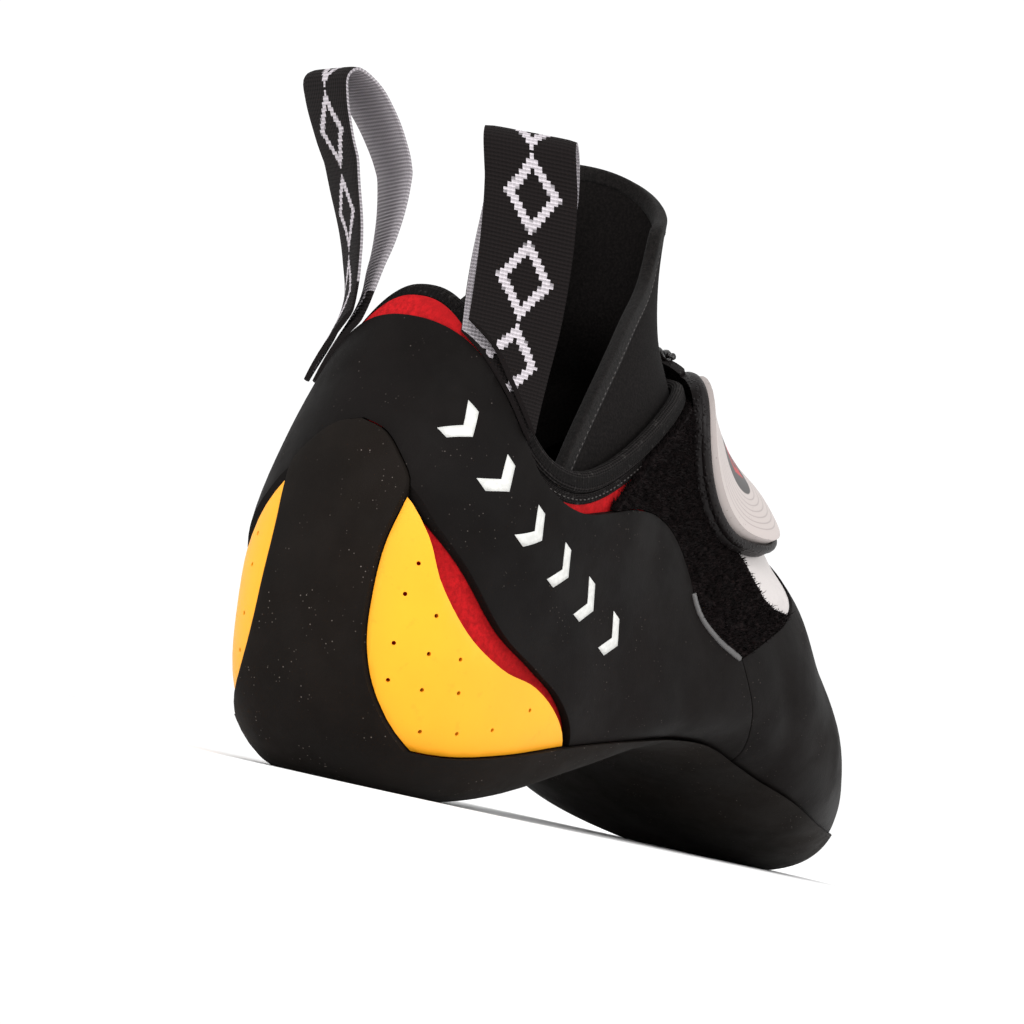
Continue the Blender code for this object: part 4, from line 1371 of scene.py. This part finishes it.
class SHOE_OT_collar(bpy.types.Operator):
    """Adds the red heel tab and the knitted edge of the opening."""

    bl_idname = "shoe.collar"
    bl_label = "Collar"

    def execute(self, context):
        s = sizes()
        tab, inside = layer("shoe_heel_tab", s.sole_rubber - s.thin_rubber, s.thin_rubber)
        keep(tab, below("tab top", edge_below_binding()))
        front = s.length * (HEEL_TAB_FRONT - s.heel_rest)
        keep(tab, prism("tab back", ((-FAR, 0.0), (front, 0.0), (front, FAR), (-FAR, FAR)), "Y", -FAR, FAR))
        cut(tab, inside, below("band beside tab", shifted(side_curve(BAND_TOP), s.gap)))
        rounded(tab, 0.0003, 2)
        finish_piece(tab, "heel_tab", "red_microfibre", finish("red"))
        middle = s.binding_wall / 2
        points, normals = collar_path(s.binding_width / 2, binding_depth() + middle)
        section = rounded_section(-middle, middle, s.binding_width, 0.0013)
        binding = sweep("shoe_collar_binding", points, normals, section, closed=True)
        binding.data.shade_smooth()
        finish_piece(binding, "collar_binding", "black_knit", finish("knit"))
        points, normals = collar_path(s.binding_width + s.tape_width / 2, upper_depth())
        section = rounded_section(-0.0003, 0.0003, s.tape_width, 0.0002)
        tape = sweep("shoe_collar_tape", points, normals, section, closed=True)
        tape.data.shade_smooth()
        finish_piece(tape, None, "black_knit", finish("knit"))
        points, normals = collar_path(s.binding_width + s.tape_width * 0.55, upper_depth())
        stitches("shoe_collar_stitches", points, normals, 0.0015, 0.0009, 0.00016, 0.00035, "black_knit")
        return {"FINISHED"}


class SHOE_OT_tongue(bpy.types.Operator):
    """Adds the neoprene tongue."""

    bl_idname = "shoe.tongue"
    bl_label = "Tongue"

    def execute(self, context):
        s = sizes()
        tongue, inside = layer("shoe_tongue", lining_depth() + 2 * s.gap, s.tongue_wall)
        back = side_curve(TONGUE_BACK)
        front = [((x - s.heel_rest) * s.length, z * s.heel_height) for x, z in TONGUE_FRONT]
        keep(tongue, prism("tongue outline", list(map(tuple, back)) + front, "Y", -FAR, FAR))
        top = curve(TONGUE_TOP, s.ball_width, s.heel_height)
        outline = list(map(tuple, top)) + [(top[-1][0], 0.0), (top[0][0], 0.0)]
        keep(tongue, prism("tongue top", outline, "X", -FAR, FAR))
        cut(tongue, inside)
        rounded(tongue, 0.0011, 4)
        finish_piece(tongue, "tongue", "neoprene", finish("neoprene"))
        middle = s.tongue_wall / 2
        depth = lining_depth() + 2 * s.gap + middle
        points, normals = edge_of(back, top, depth, TONGUE_BACK[0][1] * s.heel_height + 0.001)
        points, normals = spaced(points, normals, 0.0008)
        points, normals = spaced(smoothed(points, rounds=14), smoothed(normals, rounds=30), 0.0008)
        half = middle + 0.0002
        hem = sweep("shoe_tongue_hem", points, normals, rounded_section(-half, half, s.tongue_hem, 0.0008))
        hem.data.shade_smooth()
        finish_piece(hem, None, "neoprene", finish("hem"))
        _, across = beside_path(points, normals)
        place = points + across * s.tongue_hem * 0.26 + normals * (half - 0.00005)
        stitches("shoe_tongue_seam", place, normals, 0.0016, 0.0011, 0.00014, 0.0, "neoprene")
        return {"FINISHED"}


class SHOE_OT_closure(bpy.types.Operator):
    """Adds the pile patch, the pale panel, the strap and its pad."""

    bl_idname = "shoe.closure"
    bl_label = "Closure"

    def execute(self, context):
        s = sizes()
        patch, inside = layer("shoe_hook_patch", s.sole_rubber - s.rand_rubber, s.rand_rubber)
        back = side_curve(HOOK_BACK)
        front = s.length * (HOOK_FRONT - s.heel_rest)
        outline = list(map(tuple, back)) + [(front, back[-1][1]), (front, back[0][1])]
        keep(patch, prism("hook outline", outline, "Y", -FAR, FAR), below("hook top", edge_below_binding()))
        cut(patch, inside, band_region(s.gap), toe_region(s.gap), panel_region(s.gap))
        rounded(patch, 0.0005, 2)
        finish_piece(patch, "hook_patch", "black_pile", finish("pile"))
        self.add_tufts(patch)
        panel, inside = layer("shoe_vamp_panel", s.sole_rubber - s.thin_rubber, s.thin_rubber)
        keep(panel, panel_region())
        cut(panel, band_region(s.gap), toe_region(s.gap), inside)
        rounded(panel, 0.0003, 2)
        finish_piece(panel, "vamp_panel", "pale_panel", finish("panel"))
        strap, inside = layer("shoe_closure_strap", strap_depth(), s.strap_wall)
        back, front = side_curve(STRAP_BACK), side_curve(STRAP_FRONT)
        outline = list(map(tuple, back)) + list(map(tuple, front[::-1]))
        region = prism("strap outline", outline, "Y", s.strap_end * s.ball_width, FAR)
        carve(region, "UNION", pad_disc(s.pad_rim))
        keep(strap, region)
        cut(strap, inside)
        rounded(strap, 0.0005, 3)
        finish_piece(strap, "closure_strap", "black_webbing", finish("strap"))
        pad, inside = layer("shoe_strap_pad", pad_depth(), s.pad_wall)
        keep(pad, pad_disc(0.0))
        cut(pad, inside)
        rounded(pad, 0.0007, 3)
        self.map_pad(pad)
        finish_piece(pad, "strap_pad", "pad_rubber", finish("pad"))
        self.add_braid()
        self.add_rim()
        return {"FINISHED"}

    def add_tufts(self, patch):
        """Covers the outer face of the patch with short bent fibres."""
        count = 15000
        chance = np.random.default_rng(7)
        patch.data.calc_loop_triangles()
        places = np.array([corner.co for corner in patch.data.vertices])
        corners = places[np.array([tuple(face.vertices) for face in patch.data.loop_triangles])]
        cross = np.cross(corners[:, 1] - corners[:, 0], corners[:, 2] - corners[:, 0])
        area = np.linalg.norm(cross, axis=1)
        normals = cross / np.maximum(area, 1e-12)[:, None]
        middles = corners.mean(axis=1)
        outward = middles[:, 1] * normals[:, 1] + (middles[:, 2] - 0.04) * normals[:, 2]
        weight = np.where(outward > 0.004, area, 0.0)
        picked = chance.choice(len(corners), count, p=weight / weight.sum())
        share = chance.random((count, 2))
        share = np.where(share.sum(axis=1)[:, None] > 1, 1 - share, share)
        roots = corners[picked, 0] + share[:, :1] * (corners[picked, 1] - corners[picked, 0])
        roots = roots + share[:, 1:] * (corners[picked, 2] - corners[picked, 0])
        lean = chance.normal(0.0, 0.9, (count, 3))
        rise = unit(normals[picked] + lean * 0.8)
        length = chance.uniform(0.0007, 0.0017, count)[:, None]
        middle = roots + (normals[picked] * 0.5 + rise * 0.5) * length * 0.6
        tips = middle + (rise * 0.7 + chance.normal(0.0, 0.35, (count, 3))) * length * 0.5
        side = unit(np.cross(rise, (0.3, 0.5, 0.8)))
        other = np.cross(rise, side)
        points, faces = [], []
        for turn in range(3):
            angle = turn * 2 * math.pi / 3
            ring = side * math.cos(angle) + other * math.sin(angle)
            points.append(roots + ring * 0.00011 - normals[picked] * 0.0001)
            points.append(middle + ring * 0.00009)
        points.append(tips)
        points = np.stack(points, axis=1)
        for hair in range(count):
            first = hair * 7
            for turn in range(3):
                root, after = first + turn * 2, first + (turn + 1) % 3 * 2
                faces.append((root, after, after + 1, root + 1))
                faces.append((root + 1, after + 1, first + 6))
        tufts = mesh_object("shoe_pile_tufts", points.reshape(-1, 3), faces)
        tufts.data.shade_smooth()
        finish_piece(tufts, None, "black_pile", finish("pile"))

    def add_braid(self):
        """Lays a glossy braid of three strands along the strap's back edge."""
        s = sizes()
        line = side_curve(STRAP_BACK)
        line = line[line[:, 1].argsort()]
        radius = 0.0013
        points, normals = skin()
        depth = strap_depth() - radius * 0.4
        placed = points - normals * depth
        found = []
        ahead = placed[:, :, 0] - np.interp(placed[:, :, 2], line[:, 1], line[:, 0])
        rings = range(int(len(placed) * 0.02), int(len(placed) * 0.6))
        for step in range(placed.shape[1]):
            column = ahead[:, step]
            for ring in rings:
                _, y, z = placed[ring, step]
                inside = y > s.strap_end * s.ball_width * 0.9 and z > s.heel_height * 0.5
                if inside and column[ring] <= 0 < column[ring + 1]:
                    share = column[ring] / (column[ring] - column[ring + 1])
                    found.append(skin_at(ring + share, step, depth))
                    break
        path = np.array([point for point, _ in found])
        outs = np.array([normal for _, normal in found])
        order = np.argsort(path[:, 1])
        path, outs = spaced(smoothed(path[order], rounds=8), smoothed(outs[order], rounds=8), 0.0005)
        _, across = beside_path(path, outs)
        turn = np.arange(len(path)) * 0.0005 / 0.0075 * 2 * math.pi
        for strand in range(3):
            angle = turn + strand * 2 * math.pi / 3
            wound = path + (outs * np.cos(angle)[:, None] + across * np.sin(angle)[:, None]) * radius * 0.55
            cord = sweep(f"shoe_strap_braid_{strand}", wound, outs, tube_section(radius * 0.62, 10))
            cord.data.shade_smooth()
            finish_piece(cord, None, "black_webbing", finish("braid"))

    def add_rim(self):
        """Rolls the strap's edge round the pad."""
        s = sizes()
        point, along, across, normal = skin_frame(s.pad_station, s.pad_turn)
        turns = np.linspace(0, 2 * math.pi, 160, endpoint=False)
        reach = s.pad_rim * 0.5
        starts = [
            point + along * math.cos(turn) * (s.pad_long / 2 + reach)
            + across * math.sin(turn) * (s.pad_wide / 2 + reach) + normal * 0.03
            for turn in turns
        ]
        points, normals = struck(starts, -normal, strap_depth() - 0.0004)
        points, normals = smoothed(points, True, 4), smoothed(normals, True, 20)
        points, normals = spaced(points, normals, 0.0006, closed=True)
        rim = sweep("shoe_pad_rim", points, normals, tube_section(0.0011, 12, 1.2), closed=True)
        rim.data.shade_smooth()
        finish_piece(rim, None, "black_webbing", finish("strap"))

    def map_pad(self, pad):
        """Gives the pad a map with 1 at its rim, for its rings."""
        s = sizes()
        point, along, across, _ = skin_frame(s.pad_station, s.pad_turn)
        uv = pad.data.uv_layers.new(name="pad")
        for loop in pad.data.loops:
            away = pad.data.vertices[loop.vertex_index].co - point
            uv.data[loop.index].uv = (away.dot(along) * 2 / s.pad_long, away.dot(across) * 2 / s.pad_wide)


class SHOE_OT_loops(bpy.types.Operator):
    """Adds the two pull loops at the heel."""

    bl_idname = "shoe.loops"
    bl_label = "Pull loops"

    def execute(self, context):
        for row in PULL_LOOPS:
            self.add_loop(*row)
        return {"FINISHED"}

    def add_loop(self, node, foot, turn, lean, sway, twist):
        s = sizes()
        steps = 121
        shape = np.array(LOOP_SHAPE)
        legs = np.concatenate([shape, (shape * (1, -1))[-2::-1]])
        lengths = np.linalg.norm(np.diff(legs * (s.loop_rise, s.loop_opening / 2), axis=0), axis=1)
        path = resampled(legs, lengths, np.linspace(0, 1, steps))
        heights, openings = path.T
        rise, run = np.gradient(path * (s.loop_rise, s.loop_opening / 2), axis=0).T
        leg = np.linspace(1, -1, steps)
        apart = (s.loop_wall + s.loop_space) / 2 * np.clip(LOOP_PARTING * leg, -1, 1)
        lift = s.thin_rubber - s.sole_rubber + s.gap + s.loop_wall + s.loop_space / 2
        levels = foot * s.heel_height + heights * s.loop_rise
        middles, normals = self.up_the_heel(turn, levels)
        middles[:, 2] = levels
        outward = unit(normals[0] * (1, 1, 0))
        side = np.array([-outward[1], outward[0], 0.0])
        wides = np.linspace(-1, 1, 13)
        ribbon = [(wide, 1) for wide in wides] + [(wide, -1) for wide in wides[::-1]]
        points = []
        for step, height in enumerate(heights):
            angle = math.radians(twist) * np.clip((height - s.loop_foot) / (1 - s.loop_foot), 0, 1)
            out = outward * np.cos(angle) + side * np.sin(angle)
            across = side * np.cos(angle) - outward * np.sin(angle)
            middle = middles[step] + (outward * lean + side * sway) * s.loop_rise * height**2
            middle = middle + out * (lift + openings[step] * s.loop_opening / 2 + apart[step])
            length = np.hypot(rise[step], run[step])
            edge = out * (rise[step] / length) - np.array([0.0, 0.0, run[step] / length])
            out_of_skin = lift + openings[step] * s.loop_opening / 2 + apart[step]
            lying = np.clip((LAID_TO[1] - height) / (LAID_TO[1] - LAID_TO[0]), 0, 1)
            lying = lying**2 * (3 - 2 * lying)
            for wide, thick in ribbon:
                bow = s.loop_bow * wide**2 * max(0.0, 1 - LOOP_BOW_FADE * height)
                thin = s.loop_wall / 2 * (1 - 0.5 * abs(wide) ** 8)
                point = middle + across * wide * s.loop_width / 2 - out * bow
                near, away = self.nearest(point)
                laid = near + away * out_of_skin
                points.append(point * (1 - lying) + laid * lying + edge * thick * thin)
        count = len(ribbon)
        faces = []
        for ring in range(steps - 1):
            for corner in range(count):
                here, beside = ring * count + corner, ring * count + (corner + 1) % count
                faces.append((here, beside, beside + count, here + count))
        faces.append(tuple(range(count)))
        faces.append(tuple(len(points) - count + corner for corner in range(count)))
        loop = mesh_object("shoe_" + node, points, faces, turn_out=True)
        self.map_ribbon(loop, np.array(points).reshape(steps, count, 3), ribbon)
        loop.data.materials.append(finish("webbing"))
        loop.data.materials.append(finish("webbing back"))
        loop.data.shade_smooth()
        cut(loop, band_region(s.gap))
        activate(loop)
        bpy.ops.object.shade_smooth_by_angle(angle=math.radians(50))
        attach(loop, "root")
        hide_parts(node)

    def nearest(self, point):
        """The skin's nearest point and its normal, away from the middle of the heel."""
        struck([(0.0, -FAR, 0.05)], (0, 1, 0))
        near, normal, _, _ = KEPT["tree"].find_nearest(Vector(point))
        if normal.dot(near - Vector((0.03, 0.0, near.z))) < 0:
            normal = -normal
        return np.array(near), np.array(normal)

    def up_the_heel(self, turn, heights):
        """Points of the skin and its normals along one turn of the form, at these heights."""
        s = sizes()
        points, _ = skin()
        rings = np.arange(np.argmax(points[:, 0, 2] < s.heel_height / 2))
        line, normals = skin_at(rings, np.full(len(rings), grid_step(turn)))
        levels = line[::-1, 2]
        return at_places(heights, levels, line[::-1]), at_places(heights, levels, normals[::-1])

    def map_ribbon(self, loop, grid, ribbon):
        """Maps the ribbon in metres along and across, and gives its reverse the second material."""
        s = sizes()
        along = run_of(grid.mean(axis=1))
        along -= along[-1] / 2
        count = len(ribbon)
        uv = loop.data.uv_layers.new(name="ribbon")
        parted = along[-1] * 0.70
        for face in loop.data.polygons:
            rings = [loop.data.loops[i].vertex_index // count for i in face.loop_indices]
            sides = [loop.data.loops[i].vertex_index % count for i in face.loop_indices]
            apart = abs(along[min(rings)]) < parted
            face.material_index = 1 if min(sides) >= count // 2 - 1 and apart else 0
            for i in face.loop_indices:
                ring, corner = divmod(loop.data.loops[i].vertex_index, count)
                uv.data[i].uv = (along[ring], ribbon[corner][0] * s.loop_width / 2)


class SHOE_OT_stage(bpy.types.Operator):
    """Adds the floor, the lights and the camera."""

    bl_idname = "shoe.stage"
    bl_label = "Stage"

    def execute(self, context):
        clear_selection()
        bpy.ops.mesh.primitive_plane_add(size=6.0)
        floor = context.active_object
        floor.name = "floor"
        made = Finish("floor", (0.93, 0.93, 0.93), 0.9)
        floor.data.materials.append(made.material)
        world = bpy.data.worlds.new("studio")
        context.scene.world = world
        world.use_nodes = True
        world.node_tree.nodes["Background"].inputs["Color"].default_value = (1.0, 1.0, 1.0, 1.0)
        world.node_tree.nodes["Background"].inputs["Strength"].default_value = 1.06
        self.add_light("key", (-0.9, -0.5, 1.1), 14, 0.9)
        self.add_light("side", (0.3, -1.3, 0.6), 8, 0.7)
        self.add_light("low back", (-1.2, 0.4, 0.25), 5, 0.6)
        self.add_camera(context)
        context.scene.view_settings.view_transform = "Standard"
        return {"FINISHED"}

    def add_light(self, name, place, power, width):
        aim = Vector((0.08, 0.0, 0.06))
        bpy.ops.object.light_add(type="AREA", location=place)
        light = bpy.context.active_object
        light.name = name
        light.data.energy = power
        light.data.size = width
        light.rotation_euler = (aim - light.location).to_track_quat("-Z", "Y").to_euler()

    def add_camera(self, context):
        view = context.scene.shoe_view
        back = Vector((
            -math.cos(view.elevation) * math.cos(view.azimuth),
            -math.cos(view.elevation) * math.sin(view.azimuth),
            math.sin(view.elevation),
        ))
        turned = back.to_track_quat("Z", "Y") @ Matrix.Rotation(view.roll, 3, "Z").to_quaternion()
        right, up = turned @ Vector((1, 0, 0)), turned @ Vector((0, 1, 0))
        aim = Vector((0.0785, 0.0, 0.045)) - right * 0.0152 + up * 0.0245
        bpy.ops.object.camera_add(location=aim + back * view.distance)
        camera = context.active_object
        camera.rotation_mode = "QUATERNION"
        camera.rotation_quaternion = turned
        camera.data.lens = view.lens
        context.scene.camera = camera


class SHOE_PT_panel(bpy.types.Panel):
    """Lists the pieces and their sizes."""

    bl_idname = "SHOE_PT_panel"
    bl_label = "Climbing shoe"
    bl_space_type = "VIEW_3D"
    bl_region_type = "UI"
    bl_category = "Shoe"

    def draw(self, context):
        for operator in OPERATORS:
            self.layout.operator(operator.bl_idname)
        for group in (context.scene.shoe_sizes, context.scene.shoe_colours, context.scene.shoe_view):
            box = self.layout.box()
            for key in group.bl_rna.properties.keys():
                if key not in ("rna_type", "name"):
                    box.prop(group, key)


OPERATORS = (
    SHOE_OT_upper, SHOE_OT_sole, SHOE_OT_rands, SHOE_OT_collar, SHOE_OT_tongue, SHOE_OT_closure,
    SHOE_OT_loops, SHOE_OT_stage,
)
CLASSES = (ShoeSizes, ShoeColours, ShoeView, *OPERATORS, SHOE_PT_panel)


def register():
    for made in CLASSES:
        bpy.utils.register_class(made)
    bpy.types.Scene.shoe_sizes = PointerProperty(type=ShoeSizes)
    bpy.types.Scene.shoe_colours = PointerProperty(type=ShoeColours)
    bpy.types.Scene.shoe_view = PointerProperty(type=ShoeView)


def unregister():
    del bpy.types.Scene.shoe_view
    del bpy.types.Scene.shoe_colours
    del bpy.types.Scene.shoe_sizes
    for made in reversed(CLASSES):
        bpy.utils.unregister_class(made)


def main():
    register()
    clear_selection()
    for operator in OPERATORS:
        group, name = operator.bl_idname.split(".")
        getattr(getattr(bpy.ops, group), name)()


if __name__ == "__main__":
    main()
